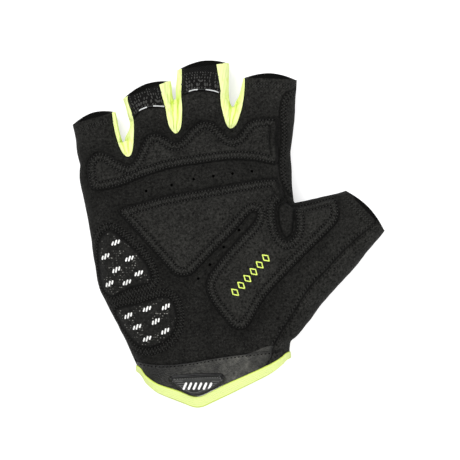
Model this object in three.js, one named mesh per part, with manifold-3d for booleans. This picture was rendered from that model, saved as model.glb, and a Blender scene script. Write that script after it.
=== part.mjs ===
import * as THREE from 'three';
import { mergeVertices } from 'three/addons/utils/BufferGeometryUtils.js';
import Module from 'manifold-3d';

// Half-finger cycling glove for the right hand, lying on its back with the palm up.
// Millimetres: +Z is up out of the palm, +Y runs to the fingertips, +X to the thumb.

const GLOVE_WIDTH = 143.8;
const GLOVE_LENGTH = 159.6;
const PALM_THICKNESS = 26;
const FINGER_THICKNESS = 19.5;
const THUMB_THICKNESS = 24;
const WALL = 1.6;
const SEAM_GAP = 0.3;
const SEAM_HEIGHT = 10.5;
const GUSSET_LOW = 4.5;
const SECTION_POWER = 2.35;
const BODY_POINTS = 32;
const FINGER_POINTS = 18;
const BINDING_WIDTH = 4.4;
const BINDING_SIDE = 3.0;
const BINDING_PROUD = 0.5;
const PAD_EDGE = 1.0;
const PAD_CUSHION = 2.3;
const PAD_SHOULDER = 3.2;
const HEEL_PAD_EDGE = 0.8;
const HEEL_PAD_CUSHION = 1.9;
const HEEL_PAD_SHOULDER = 2.0;
const PATCH_THICKNESS = 0.9;
const PIPING_WIDTH = 1.7;
const PIPING_HEIGHT = 1.3;
const TAB_THICKNESS = 1.5;
const TAB_RIB_HEIGHT = 0.8;
const TAB_RIB_WIDTH = 1.1;
const HOLE_DIAMETER = 1.3;
const RIM_BACK_BULGE = 3.0;
const RIM_PALM_BULGE = 0;

// Sections of the palm body from the cuff to the knuckles. left and right are the ends of
// the section seen from above, as shares of the width and the length. top is a share of the
// palm thickness, bulge is how far the middle runs toward the fingers in millimetres, and
// under is how far the back of a section lifts off the table.
const BODY_SECTIONS = [
  { left: [0.205, 0.121], right: [0.695, 0.161], top: 0.93, bulge: 0 },
  { left: [0.163, 0.205], right: [0.703, 0.228], top: 0.95, bulge: 0 },
  { left: [0.123, 0.274], right: [0.704, 0.294], top: 0.98, bulge: 0 },
  { left: [0.088, 0.340], right: [0.704, 0.360], top: 1.00, bulge: 0 },
  { left: [0.069, 0.418], right: [0.706, 0.432], top: 1.00, bulge: 0 },
  { left: [0.056, 0.504], right: [0.707, 0.513], top: 0.97, bulge: 1 },
  { left: [0.037, 0.597], right: [0.707, 0.588], top: 0.94, bulge: 3 },
  { left: [0.021, 0.666], right: [0.702, 0.683], top: 0.89, bulge: 5 },
  { left: [0.036, 0.728], right: [0.688, 0.765], top: 0.66, bulge: 8, under: 3.5 },
];

// Hem of the palm side. across runs from -1 at the left side to 1 at the right side, dip is
// how far the hem drops toward the wrist there and band is the width of its binding.
const HEM = [
  { across: -1.00, dip: 0.0, band: 3.0 },
  { across: -0.84, dip: 7.4, band: 4.0 },
  { across: -0.70, dip: 10.1, band: 4.4 },
  { across: -0.49, dip: 12.9, band: 5.1 },
  { across: -0.25, dip: 17.2, band: 5.1 },
  { across: 0.145, dip: 11.8, band: 5.4 },
  { across: 0.74, dip: 4.8, band: 4.3 },
  { across: 1.00, dip: 0.0, band: 3.0 },
];

// Sections of each finger from inside the palm to its rim, in the same shares. top is a
// share of the finger thickness.
const LITTLE_SECTIONS = [
  { left: [0.037, 0.625], right: [0.190, 0.643], top: 0.76 },
  { left: [0.019, 0.712], right: [0.184, 0.741], top: 0.95 },
  { left: [0.009, 0.775], right: [0.163, 0.775], top: 0.93 },
  { left: [0.001, 0.811], right: [0.140, 0.847], top: 0.88 },
];
const RING_SECTIONS = [
  { left: [0.190, 0.666], right: [0.350, 0.700], top: 0.78 },
  { left: [0.166, 0.760], right: [0.350, 0.804], top: 1.03 },
  { left: [0.184, 0.807], right: [0.341, 0.850], top: 1.03 },
  { left: [0.174, 0.847], right: [0.324, 0.890], top: 0.98 },
  { left: [0.162, 0.885], right: [0.315, 0.937], top: 0.95 },
];
const MIDDLE_SECTIONS = [
  { left: [0.338, 0.712], right: [0.510, 0.723], top: 0.80 },
  { left: [0.318, 0.821], right: [0.528, 0.835], top: 1.03 },
  { left: [0.329, 0.890], right: [0.513, 0.874], top: 1.01 },
  { left: [0.331, 0.912], right: [0.501, 0.904], top: 0.99 },
  { left: [0.336, 0.968], right: [0.502, 0.988], top: 0.96 },
];
const INDEX_SECTIONS = [
  { left: [0.517, 0.689], right: [0.699, 0.695], top: 0.80 },
  { left: [0.500, 0.804], right: [0.709, 0.804], top: 1.03 },
  { left: [0.519, 0.873], right: [0.712, 0.868], top: 1.01 },
  { left: [0.534, 0.897], right: [0.713, 0.892], top: 0.99 },
  { left: [0.547, 0.945], right: [0.718, 0.939], top: 0.96 },
];

// Sections of the thumb, with top as a share of the thumb thickness.
const THUMB_SECTIONS = [
  { left: [0.606, 0.548], right: [0.568, 0.235], top: 0.72, under: 2.4 },
  { left: [0.650, 0.572], right: [0.640, 0.196], top: 0.93, under: -0.4 },
  { left: [0.707, 0.586], right: [0.706, 0.196], top: 1.00, under: -0.8 },
  { left: [0.786, 0.604], right: [0.805, 0.303], top: 0.99, under: 0.3 },
  { left: [0.837, 0.615], right: [0.898, 0.398], top: 0.95, under: 1.8 },
  { left: [0.874, 0.624], right: [0.999, 0.508], top: 0.90, under: 3.0 },
];

// Outlines of the panels and pads seen from above, in shares of the width and the length.
const GUSSET_LITTLE_RING = [
  [0.125, 0.885], [0.128, 0.839], [0.133, 0.808], [0.143, 0.771], [0.155, 0.742], [0.167, 0.726],
  [0.178, 0.721], [0.188, 0.727], [0.195, 0.752], [0.197, 0.808], [0.192, 0.841], [0.178, 0.878],
  [0.171, 0.908],
];
const GUSSET_RING_MIDDLE = [
  [0.269, 0.960], [0.280, 0.922], [0.288, 0.893], [0.298, 0.860], [0.304, 0.830], [0.312, 0.805],
  [0.330, 0.788], [0.345, 0.801], [0.350, 0.830], [0.351, 0.863], [0.348, 0.900], [0.350, 0.955],
  [0.352, 1.030], [0.300, 1.030],
];
const GUSSET_MIDDLE_INDEX = [
  [0.458, 1.030], [0.462, 0.980], [0.467, 0.952], [0.473, 0.918], [0.475, 0.874], [0.490, 0.820],
  [0.504, 0.803], [0.523, 0.813], [0.539, 0.851], [0.546, 0.882], [0.550, 0.913], [0.551, 0.941],
  [0.550, 1.030],
];
const INDEX_SIDE = [
  [0.760, 0.930], [0.718, 0.921], [0.700, 0.912], [0.683, 0.905], [0.668, 0.885], [0.662, 0.841],
  [0.666, 0.788], [0.662, 0.735], [0.660, 0.695], [0.666, 0.654], [0.688, 0.614], [0.700, 0.600],
  [0.718, 0.596], [0.760, 0.610],
];
const THUMB_SIDE = [
  [1.040, 0.585], [0.949, 0.515], [0.893, 0.473], [0.850, 0.434], [0.802, 0.386], [0.754, 0.340],
  [0.715, 0.283], [0.680, 0.233], [0.645, 0.180], [0.636, 0.150], [0.636, 0.060], [1.144, 0.060],
  [1.144, 0.585],
];
const CUFF = [
  [0.150, 0.150], [0.206, 0.131], [0.264, 0.123], [0.321, 0.123], [0.392, 0.131], [0.461, 0.142],
  [0.552, 0.153], [0.660, 0.163], [0.660, -0.060], [0.150, -0.060],
];
const RING_BAND = [
  [0.150, 1.000], [0.150, 0.812], [0.195, 0.830], [0.219, 0.852], [0.254, 0.862], [0.306, 0.860],
  [0.328, 0.855], [0.336, 1.000],
];
const MIDDLE_BAND = [
  [0.312, 1.029], [0.312, 0.885], [0.347, 0.896], [0.379, 0.907], [0.418, 0.910], [0.453, 0.906],
  [0.491, 0.893], [0.536, 0.885], [0.536, 1.029],
];
const KNUCKLE_PAD = [
  [0.050, 0.666], [0.049, 0.700], [0.059, 0.719], [0.082, 0.733], [0.110, 0.730], [0.139, 0.712],
  [0.178, 0.696], [0.200, 0.710], [0.216, 0.741], [0.235, 0.775], [0.258, 0.788], [0.286, 0.784],
  [0.309, 0.771], [0.330, 0.762], [0.350, 0.772], [0.376, 0.798], [0.405, 0.820], [0.430, 0.823],
  [0.456, 0.816], [0.482, 0.793], [0.507, 0.776], [0.530, 0.782], [0.555, 0.813], [0.581, 0.828],
  [0.613, 0.831], [0.654, 0.826], [0.654, 0.767], [0.654, 0.703], [0.584, 0.709], [0.507, 0.712],
  [0.386, 0.698], [0.304, 0.685], [0.222, 0.661], [0.149, 0.635], [0.082, 0.625], [0.059, 0.634],
];
const PALM_PAD = [
  [0.152, 0.569], [0.226, 0.589], [0.299, 0.607], [0.408, 0.625], [0.504, 0.640], [0.594, 0.654],
  [0.651, 0.657], [0.661, 0.637], [0.677, 0.614], [0.670, 0.594], [0.651, 0.579], [0.650, 0.539],
  [0.661, 0.501], [0.683, 0.480], [0.706, 0.494], [0.715, 0.527], [0.715, 0.576], [0.776, 0.594],
  [0.834, 0.605], [0.850, 0.579], [0.851, 0.550], [0.834, 0.522], [0.786, 0.478], [0.728, 0.427],
  [0.651, 0.354], [0.606, 0.305], [0.578, 0.259], [0.558, 0.232], [0.536, 0.225], [0.510, 0.233],
  [0.478, 0.265], [0.443, 0.308], [0.429, 0.346], [0.437, 0.378], [0.462, 0.411], [0.508, 0.461],
  [0.569, 0.520], [0.590, 0.550], [0.581, 0.563], [0.562, 0.553], [0.517, 0.507], [0.462, 0.458],
  [0.405, 0.405], [0.376, 0.382], [0.347, 0.378], [0.321, 0.389], [0.274, 0.436], [0.217, 0.495],
  [0.158, 0.553],
];
const UPPER_HEEL_PAD = [
  [0.125, 0.508], [0.162, 0.485], [0.208, 0.446], [0.238, 0.411], [0.252, 0.378], [0.245, 0.360],
  [0.196, 0.347], [0.156, 0.331], [0.128, 0.320], [0.104, 0.336], [0.091, 0.375], [0.085, 0.432],
  [0.088, 0.480], [0.104, 0.501],
];
const LOWER_HEEL_PAD = [
  [0.144, 0.282], [0.216, 0.298], [0.291, 0.318], [0.321, 0.303], [0.333, 0.270], [0.330, 0.237],
  [0.312, 0.204], [0.278, 0.182], [0.238, 0.173], [0.208, 0.182], [0.180, 0.209], [0.156, 0.242],
];
const THUMB_CROTCH_PATCH = [
  [0.660, 0.576], [0.658, 0.545], [0.666, 0.510], [0.682, 0.488], [0.699, 0.500], [0.705, 0.524],
  [0.706, 0.573], [0.683, 0.588],
];
const PULL_TAB = [
  [0.314, 0.076], [0.328, 0.089], [0.398, 0.093], [0.469, 0.095], [0.485, 0.079], [0.390, 0.035],
];
const RING_PIPING = [[0.203, 0.843], [0.219, 0.856], [0.254, 0.866], [0.298, 0.865]];
const MIDDLE_PIPING = [[0.358, 0.903], [0.385, 0.912], [0.418, 0.914], [0.453, 0.910], [0.477, 0.902]];
const HOLES = [
  [0.237, 0.622], [0.318, 0.639], [0.388, 0.656], [0.451, 0.665], [0.512, 0.672], [0.574, 0.679],
  [0.533, 0.510], [0.484, 0.461], [0.440, 0.411], [0.403, 0.371],
];

const wasm = await Module();
wasm.setup();

const HIGH = PALM_THICKNESS + 20;
const LOW = -10;
const WELD = 0.001;

// A closed geometry as a solid that can be joined and cut.
function solid(geometry) {
  geometry.deleteAttribute('normal');
  geometry.deleteAttribute('uv');
  const merged = mergeVertices(geometry, WELD);
  return new wasm.Manifold(new wasm.Mesh({
    numProp: 3,
    vertProperties: new Float32Array(merged.attributes.position.array),
    triVerts: new Uint32Array(merged.index.array),
  }));
}

// A point of the top view from its shares of the width and the length.
function place([across, along]) {
  return new THREE.Vector2((across - 0.5) * GLOVE_WIDTH, (along - 0.5) * GLOVE_LENGTH);
}

// A value of one column of a table between its rows.
function between(table, key, column, value) {
  const last = table.length - 1;
  let row = 0;
  while (row < last - 1 && value > table[row + 1][key]) {
    row += 1;
  }
  const start = table[row];
  const end = table[row + 1];
  const share = THREE.MathUtils.clamp((value - start[key]) / (end[key] - start[key]), 0, 1);
  return start[column] + (end[column] - start[column]) * share;
}

// One closed section. grow moves its surface outward, and slide(across, up) moves its points
// along the limb, where up is 1 at the palm side and -1 at the back. floor is how low the
// flattened back reaches.
function ring(section, pointCount, grow, slide, floor = -grow) {
  const points = Math.round(pointCount);
  const left = place(section.left);
  const right = place(section.right);
  const middle = left.clone().add(right).multiplyScalar(0.5);
  const side = right.clone().sub(left);
  const half = side.length() / 2 + grow;
  side.normalize();
  const limb = new THREE.Vector2(-side.y, side.x);
  const result = [];
  for (let i = 0; i < points; i += 1) {
    const angle = (2 * Math.PI * i) / points;
    const across = Math.sign(Math.cos(angle)) * Math.abs(Math.cos(angle)) ** (2 / SECTION_POWER);
    const up = Math.sign(Math.sin(angle)) * Math.abs(Math.sin(angle)) ** (2 / SECTION_POWER);
    const reach = (up > 0 ? section.high - section.mid : section.mid - section.low) + grow;
    const shift = slide(across, up);
    result.push(new THREE.Vector3(
      middle.x + side.x * half * across + limb.x * shift,
      middle.y + side.y * half * across + limb.y * shift,
      Math.max(section.mid + reach * up, floor),
    ));
  }
  return result;
}

// A closed solid through rings that have equal numbers of points.
function skin(rings) {
  const points = rings[0].length;
  const positions = [];
  const index = [];
  rings.forEach((loop) => loop.forEach((point) => positions.push(point.x, point.y, point.z)));
  for (let row = 0; row + 1 < rings.length; row += 1) {
    for (let i = 0; i < points; i += 1) {
      const j = (i + 1) % points;
      const a = row * points + i;
      const b = row * points + j;
      const c = a + points;
      const d = b + points;
      index.push(a, d, b, a, c, d);
    }
  }
  [0, rings.length - 1].forEach((row) => {
    const centre = new THREE.Vector3();
    rings[row].forEach((point) => centre.add(point));
    centre.divideScalar(points);
    const middle = positions.length / 3;
    positions.push(centre.x, centre.y, centre.z);
    for (let i = 0; i < points; i += 1) {
      const a = row * points + i;
      const b = row * points + ((i + 1) % points);
      index.push(...(row === 0 ? [a, b, middle] : [b, a, middle]));
    }
  });
  const geometry = new THREE.BufferGeometry();
  geometry.setAttribute('position', new THREE.Float32BufferAttribute(positions, 3));
  geometry.setIndex(index);
  return solid(geometry);
}

// Limbs: each has its sections, its number of ring points and the slides of its two ends.
function limb(sections, thickness, points, startSlide, endSlide, midShare) {
  const rows = sections.map((section) => ({
    left: section.left,
    right: section.right,
    high: section.top * thickness,
    mid: midShare * thickness,
    low: section.under === undefined ? -1 : section.under,
    bulge: section.bulge || 0,
  }));
  return { rows, points, startSlide, endSlide };
}

const hemSlide = (across, up) => (up > 0 ? -between(HEM, 'across', 'dip', across) : 0);
const rimSlide = (across, up) => (up > 0 ? RIM_PALM_BULGE : RIM_BACK_BULGE) * (1 - across * across);
const noSlide = () => 0;

const body = limb(BODY_SECTIONS, PALM_THICKNESS, BODY_POINTS, hemSlide, null, SEAM_HEIGHT / PALM_THICKNESS);
const fingers = [LITTLE_SECTIONS, RING_SECTIONS, MIDDLE_SECTIONS, INDEX_SECTIONS].map(
  (sections) => limb(sections, FINGER_THICKNESS, FINGER_POINTS, noSlide, rimSlide, 0.46),
);
const thumb = limb(THUMB_SECTIONS, THUMB_THICKNESS, FINGER_POINTS + 4, noSlide, rimSlide, 0.46);

// The solid of one limb with its surface moved out by grow and its open ends moved out by
// reach. The ring just inside each end keeps the cut through the wall square.
function loft(part, grow, reach) {
  const last = part.rows.length - 1;
  const startSlide = (across, up) => part.startSlide(across, up) - reach;
  const endSlide = part.endSlide
    ? (across, up) => part.endSlide(across, up) + reach
    : (across) => part.rows[last].bulge * (1 - across * across);
  const core = grow - WALL - 1.2;
  const rings = part.rows.map((row, i) => {
    if (i === 0) {
      return ring(row, part.points, grow, part.startSlide === noSlide ? noSlide : startSlide);
    }
    if (i === last) {
      return ring(row, part.points, grow, endSlide);
    }
    return ring(row, part.points, grow, (across) => row.bulge * (1 - across * across));
  });
  const firstCore = ring(part.rows[0], part.points, core, part.startSlide === noSlide ? noSlide : startSlide);
  const lastCore = ring(part.rows[last], part.points, core, endSlide);
  return skin([firstCore, ...rings, lastCore]);
}

// The whole hand form at one offset of its surface.
function hand(grow, reach) {
  return [body, ...fingers, thumb]
    .map((part) => loft(part, grow, reach))
    .reduce((whole, next) => whole.add(next));
}

// The distance of a point from an outline.
function gapTo(outline, point) {
  const nearest = new THREE.Vector3();
  const target = new THREE.Vector3(point.x, point.y, 0);
  const edge = new THREE.Line3();
  return Math.min(...outline.map((start, i) => {
    const end = outline[(i + 1) % outline.length];
    edge.start.set(start.x, start.y, 0);
    edge.end.set(end.x, end.y, 0);
    edge.closestPointToPoint(target, true, nearest);
    return nearest.distanceTo(target);
  }));
}

// An outline moved outward by a distance, or inward when it is negative. Corners that an
// inward move would fold over are left out.
function offsetOutline(points, distance) {
  const turn = THREE.ShapeUtils.isClockWise(points) ? -1 : 1;
  const count = points.length;
  const moved = points.map((point, i) => {
    const before = point.clone().sub(points[(i + count - 1) % count]).normalize();
    const after = points[(i + 1) % count].clone().sub(point).normalize();
    const normal = new THREE.Vector2(before.y + after.y, -before.x - after.x);
    const size = normal.length() / 2;
    normal.normalize().multiplyScalar((turn * distance) / Math.max(size, 0.6));
    return point.clone().add(normal);
  });
  return moved.filter((point) => gapTo(points, point) > Math.abs(distance) * 0.93);
}

// An upright solid over an outline.
function prism(outline, bottom, top) {
  const shape = new THREE.Shape(outline);
  const geometry = new THREE.ExtrudeGeometry(shape, {
    depth: top - bottom,
    bevelEnabled: false,
    steps: 1,
    curveSegments: 1,
  });
  geometry.translate(0, 0, bottom);
  return solid(geometry);
}

// The largest connected body of a solid, as a geometry.
function largestBody(shape) {
  const mesh = shape.getMesh();
  const count = mesh.triVerts.length / 3;
  const parent = Array.from({ length: count }, (_, i) => i);
  const find = (i) => {
    let root = i;
    while (parent[root] !== root) {
      parent[root] = parent[parent[root]];
      root = parent[root];
    }
    return root;
  };
  const corners = (i) => [mesh.triVerts[3 * i], mesh.triVerts[3 * i + 1], mesh.triVerts[3 * i + 2]];
  const vertex = (i) => new THREE.Vector3(
    mesh.vertProperties[3 * i],
    mesh.vertProperties[3 * i + 1],
    mesh.vertProperties[3 * i + 2],
  );
  const edges = new Map();
  for (let i = 0; i < count; i += 1) {
    const [a, b, c] = corners(i);
    [[a, b], [b, c], [c, a]].forEach(([from, to]) => {
      const key = `${Math.min(from, to)} ${Math.max(from, to)}`;
      if (edges.has(key)) {
        parent[find(i)] = find(edges.get(key));
      } else {
        edges.set(key, i);
      }
    });
  }
  const volumes = new Map();
  for (let i = 0; i < count; i += 1) {
    const [a, b, c] = corners(i).map(vertex);
    const root = find(i);
    volumes.set(root, (volumes.get(root) || 0) + a.dot(b.cross(c)) / 6);
  }
  const biggest = [...volumes.entries()].sort((first, second) => second[1] - first[1])[0][0];
  const order = new Map();
  const positions = [];
  const index = [];
  for (let i = 0; i < count; i += 1) {
    if (find(i) === biggest) {
      corners(i).forEach((corner) => {
        if (!order.has(corner)) {
          order.set(corner, positions.length / 3);
          const point = vertex(corner);
          positions.push(point.x, point.y, point.z);
        }
        index.push(order.get(corner));
      });
    }
  }
  const geometry = new THREE.BufferGeometry();
  geometry.setAttribute('position', new THREE.Float32BufferAttribute(positions, 3));
  geometry.setIndex(index);
  return geometry;
}

const pieces = [];

function addPiece(name, shape, color, roughness, metalness = 0) {
  const material = new THREE.MeshStandardMaterial({ color, roughness, metalness });
  pieces.push({ name, material, geometry: largestBody(shape) });
}

const SUEDE = 0x2c2c2b;
const PAD_SUEDE = 0x302f2e;
const KNIT = 0x292928;
const LEATHER = 0x474843;
const LIME = 0xe4f05a;
const WINDOW = 0x2a2a2c;
const PIPING = 0x8e9090;
const RUBBER = 0x1d1d1d;

// Shell of the hand form, open at the wrist and at each finger.
let shell = hand(0, 0).subtract(hand(-WALL, 6));

// Cut one panel out of the shell and leave a seam gap round it.
function carve(shares, bottom, top) {
  const outline = shares.map(place);
  const panel = shell.intersect(prism(outline, bottom, top));
  shell = shell.subtract(prism(offsetOutline(outline, SEAM_GAP), bottom - SEAM_GAP, top + SEAM_GAP));
  return panel;
}

addPiece('gusset_little_ring', carve(GUSSET_LITTLE_RING, GUSSET_LOW, HIGH), LIME, 0.7);
addPiece('gusset_ring_middle', carve(GUSSET_RING_MIDDLE, GUSSET_LOW, HIGH), LIME, 0.7);
addPiece('gusset_middle_index', carve(GUSSET_MIDDLE_INDEX, GUSSET_LOW, HIGH), LIME, 0.7);
addPiece('index_side_panel', carve(INDEX_SIDE, GUSSET_LOW, HIGH), KNIT, 0.85);
addPiece('thumb_side_panel', carve(THUMB_SIDE, GUSSET_LOW, HIGH), KNIT, 0.85);
addPiece('cuff_panel', carve(CUFF, SEAM_HEIGHT, HIGH), LEATHER, 0.55);
addPiece('finger_band_ring', carve(RING_BAND, SEAM_HEIGHT, HIGH), KNIT, 0.85);
addPiece('finger_band_middle', carve(MIDDLE_BAND, SEAM_HEIGHT, HIGH), KNIT, 0.85);

// What is left is the palm above the seam height and the back below it.
const everywhere = [[-0.2, -0.3], [1.2, -0.3], [1.2, 1.3], [-0.2, 1.3]].map(place);
let palm = shell.intersect(prism(everywhere, SEAM_HEIGHT + SEAM_GAP / 2, HIGH));
HOLES.map(place).forEach((centre) => {
  const hole = new THREE.CylinderGeometry(HOLE_DIAMETER / 2, HOLE_DIAMETER / 2, HIGH - SEAM_HEIGHT, 8);
  hole.rotateX(Math.PI / 2);
  hole.translate(centre.x, centre.y, (HIGH + SEAM_HEIGHT) / 2);
  palm = palm.subtract(solid(hole));
});
addPiece('palm_panel', palm, SUEDE, 0.9);
addPiece('back_panel', shell.intersect(prism(everywhere, LOW, SEAM_HEIGHT - SEAM_GAP / 2)), KNIT, 0.85);

// Pads lie on the panels with a thin sewn edge and a raised cushion.
const clear = hand(SEAM_GAP, 0);
function layer(outline, thickness) {
  return hand(SEAM_GAP + thickness, 0).subtract(clear).intersect(prism(outline, SEAM_HEIGHT, HIGH));
}
function pad(shares, edge, cushion, shoulder) {
  const outline = shares.map(place);
  return layer(outline, edge).add(layer(offsetOutline(outline, -shoulder), cushion));
}
addPiece('knuckle_pad', pad(KNUCKLE_PAD, PAD_EDGE, PAD_CUSHION, PAD_SHOULDER), PAD_SUEDE, 0.9);
addPiece('palm_thumb_pad', pad(PALM_PAD, PAD_EDGE, PAD_CUSHION, PAD_SHOULDER), PAD_SUEDE, 0.9);
addPiece('upper_heel_pad', pad(UPPER_HEEL_PAD, HEEL_PAD_EDGE, HEEL_PAD_CUSHION, HEEL_PAD_SHOULDER), WINDOW, 0.8);
addPiece('lower_heel_pad', pad(LOWER_HEEL_PAD, HEEL_PAD_EDGE, HEEL_PAD_CUSHION, HEEL_PAD_SHOULDER), WINDOW, 0.8);
addPiece('thumb_crotch_patch', layer(THUMB_CROTCH_PATCH.map(place), PATCH_THICKNESS), SUEDE, 0.85);

// A strip of even width along an open line of the top view.
function strip(shares, width) {
  const line = shares.map(place);
  const sides = line.map((point, i) => {
    const before = line[Math.max(i - 1, 0)];
    const after = line[Math.min(i + 1, line.length - 1)];
    const run = after.clone().sub(before).normalize();
    return new THREE.Vector2(-run.y, run.x).multiplyScalar(width / 2);
  });
  const upper = line.map((point, i) => point.clone().add(sides[i]));
  const lower = line.map((point, i) => point.clone().sub(sides[i]));
  return [...lower, ...upper.reverse()];
}
addPiece('ring_piping', layer(strip(RING_PIPING, PIPING_WIDTH), PIPING_HEIGHT), PIPING, 0.4);
addPiece('middle_piping', layer(strip(MIDDLE_PIPING, PIPING_WIDTH), PIPING_HEIGHT), PIPING, 0.4);

// Rubber pull tab with a raised border and two raised bars.
const tabOutline = PULL_TAB.map(place);
const tabBorder = layer(tabOutline, TAB_THICKNESS + TAB_RIB_HEIGHT)
  .subtract(prism(offsetOutline(tabOutline, -TAB_RIB_WIDTH), LOW, HIGH));
let tab = layer(tabOutline, TAB_THICKNESS).add(tabBorder);
addPiece('pull_tab', tab, RUBBER, 0.6);

// Binding round the hem of the wrist, a little thicker than the wall.
function bindingLoft(grow, reach) {
  const band = (across, up) => (up > 0
    ? between(HEM, 'across', 'band', across)
    : BINDING_SIDE + (BINDING_WIDTH - BINDING_SIDE) * Math.abs(up));
  const inner = (across, up) => hemSlide(across, up) - SEAM_GAP + reach;
  const outer = (across, up) => hemSlide(across, up) - SEAM_GAP - band(across, up) - reach;
  const row = body.rows[0];
  const core = grow - WALL - 1.5;
  const floor = Math.max(-grow, 0);
  return skin([
    ring(row, BODY_POINTS, core, outer),
    ring(row, BODY_POINTS, grow, outer, floor),
    ring(row, BODY_POINTS, grow, inner, floor),
    ring(row, BODY_POINTS, core, inner),
  ]);
}
addPiece('cuff_binding', bindingLoft(BINDING_PROUD, 0).subtract(bindingLoft(-WALL - BINDING_PROUD, 3)), LIME, 0.7);

// Set the middle of the outline over the origin, with the back resting at z = 0.
const box = new THREE.Box3();
pieces.forEach(({ geometry }) => {
  geometry.computeBoundingBox();
  box.union(geometry.boundingBox);
});
const centre = box.getCenter(new THREE.Vector3());
const group = new THREE.Group();
pieces.forEach(({ name, material, geometry }) => {
  geometry.translate(-centre.x, -centre.y, -box.min.z);
  const welded = largestBody(solid(geometry));
  welded.computeVertexNormals();
  const mesh = new THREE.Mesh(welded, material);
  mesh.name = name;
  group.add(mesh);
});

export default group;
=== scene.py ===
# %% [markdown]
# # A half-finger cycling glove, lying palm up
#
# The CAD model gives the glove as stiff panels. This lesson builds the cloth that shows:
# a smooth hand form cut into sewn panels, foam pads with two rows of stitching, lime
# gussets between the fingers, the bound hem and the small trims.

# %% Load the frame
import math

import bmesh
import bpy
from mathutils import Matrix, Vector, noise
from mathutils.bvhtree import BVHTree
from mathutils.kdtree import KDTree


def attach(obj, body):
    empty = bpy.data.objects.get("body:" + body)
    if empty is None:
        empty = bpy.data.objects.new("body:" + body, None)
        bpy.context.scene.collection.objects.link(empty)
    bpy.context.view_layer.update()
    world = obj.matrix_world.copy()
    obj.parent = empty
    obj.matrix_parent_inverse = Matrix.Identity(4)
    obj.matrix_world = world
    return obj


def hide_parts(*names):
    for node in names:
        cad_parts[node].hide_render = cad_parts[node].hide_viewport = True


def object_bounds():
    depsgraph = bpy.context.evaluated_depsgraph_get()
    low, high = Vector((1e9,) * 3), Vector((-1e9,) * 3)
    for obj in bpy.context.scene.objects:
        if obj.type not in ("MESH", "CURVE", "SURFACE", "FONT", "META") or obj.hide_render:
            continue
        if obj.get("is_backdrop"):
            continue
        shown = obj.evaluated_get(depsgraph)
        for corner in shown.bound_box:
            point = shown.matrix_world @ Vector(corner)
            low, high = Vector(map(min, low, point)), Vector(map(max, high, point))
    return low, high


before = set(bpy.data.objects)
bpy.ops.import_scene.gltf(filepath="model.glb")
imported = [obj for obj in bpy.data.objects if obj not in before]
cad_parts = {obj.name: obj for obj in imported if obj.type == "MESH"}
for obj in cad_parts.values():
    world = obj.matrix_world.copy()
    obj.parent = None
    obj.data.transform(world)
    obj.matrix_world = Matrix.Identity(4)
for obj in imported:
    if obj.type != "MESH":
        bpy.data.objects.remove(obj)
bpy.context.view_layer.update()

# %% [markdown]
# The glove is drawn in millimetres, in shares of its width and length, exactly as the CAD
# model draws it. Working in millimetres keeps the cutting tools accurate. Each finished
# piece is scaled to metres once, in its own mesh.

# %% Sizes of the glove
GLOVE_WIDTH = 143.8
GLOVE_LENGTH = 159.6
OUTLINE_SHIFT = Vector((-0.072, 0.563))
PALM_THICKNESS = 26
FINGER_THICKNESS = 19.5
THUMB_THICKNESS = 24
WALL = 1.6
SEAM_GAP = 0.01
SEAM_HEIGHT = 10.5
GUSSET_LOW = 4.5
SECTION_POWER = 2.35
FINGER_RIM = (3.0, 0.55)
THUMB_RIM = (2.4, 0.0)
OVERRUN = 7.0
OUTER_VOXEL = 0.5
OUTER_SMOOTHING = 20
INNER_VOXEL = 1.3
PAD_VOXEL = 0.45
MM = 0.001

# Columns: left across, left along, right across, right along, top share, bulge, under.
BODY_ROWS = [
    (0.205, 0.121, 0.695, 0.161, 0.93, 0, -1.0),
    (0.163, 0.205, 0.703, 0.228, 0.95, 0, -1.0),
    (0.123, 0.274, 0.704, 0.294, 0.98, 0, -1.0),
    (0.088, 0.340, 0.704, 0.360, 1.00, 0, -1.0),
    (0.069, 0.418, 0.706, 0.432, 1.00, 0, -1.0),
    (0.056, 0.504, 0.707, 0.513, 0.97, 1, -1.0),
    (0.037, 0.597, 0.707, 0.588, 0.94, 3, -1.0),
    (0.021, 0.666, 0.702, 0.683, 0.89, 5, -1.0),
    (0.030, 0.728, 0.695, 0.765, 0.66, 8, 3.5),
]
LITTLE_ROWS = [
    (0.060, 0.592, 0.190, 0.625, 0.76, 0, 3.6),
    (0.019, 0.712, 0.183, 0.733, 0.95, 0, -1.0),
    (0.009, 0.775, 0.158, 0.768, 0.93, 0, -1.0),
    (0.001, 0.811, 0.139, 0.847, 0.88, 0, -1.0),
]
RING_ROWS = [
    (0.190, 0.666, 0.350, 0.700, 0.78, 0, -1.0),
    (0.166, 0.760, 0.350, 0.804, 1.03, 0, -1.0),
    (0.184, 0.807, 0.339, 0.846, 1.03, 0, -1.0),
    (0.175, 0.847, 0.322, 0.890, 0.98, 0, -1.0),
    (0.162, 0.885, 0.315, 0.937, 0.95, 0, -1.0),
]
MIDDLE_ROWS = [
    (0.338, 0.712, 0.510, 0.723, 0.80, 0, -1.0),
    (0.318, 0.821, 0.526, 0.829, 1.03, 0, -1.0),
    (0.330, 0.890, 0.506, 0.870, 1.01, 0, -1.0),
    (0.331, 0.912, 0.501, 0.904, 0.99, 0, -1.0),
    (0.336, 0.968, 0.502, 0.988, 0.96, 0, -1.0),
]
INDEX_ROWS = [
    (0.517, 0.672, 0.682, 0.662, 0.80, 0, 2.4),
    (0.500, 0.804, 0.709, 0.804, 1.03, 0, -1.0),
    (0.520, 0.873, 0.712, 0.868, 1.01, 0, -1.0),
    (0.534, 0.897, 0.713, 0.892, 0.99, 0, -1.0),
    (0.547, 0.945, 0.718, 0.939, 0.96, 0, -1.0),
]
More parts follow.
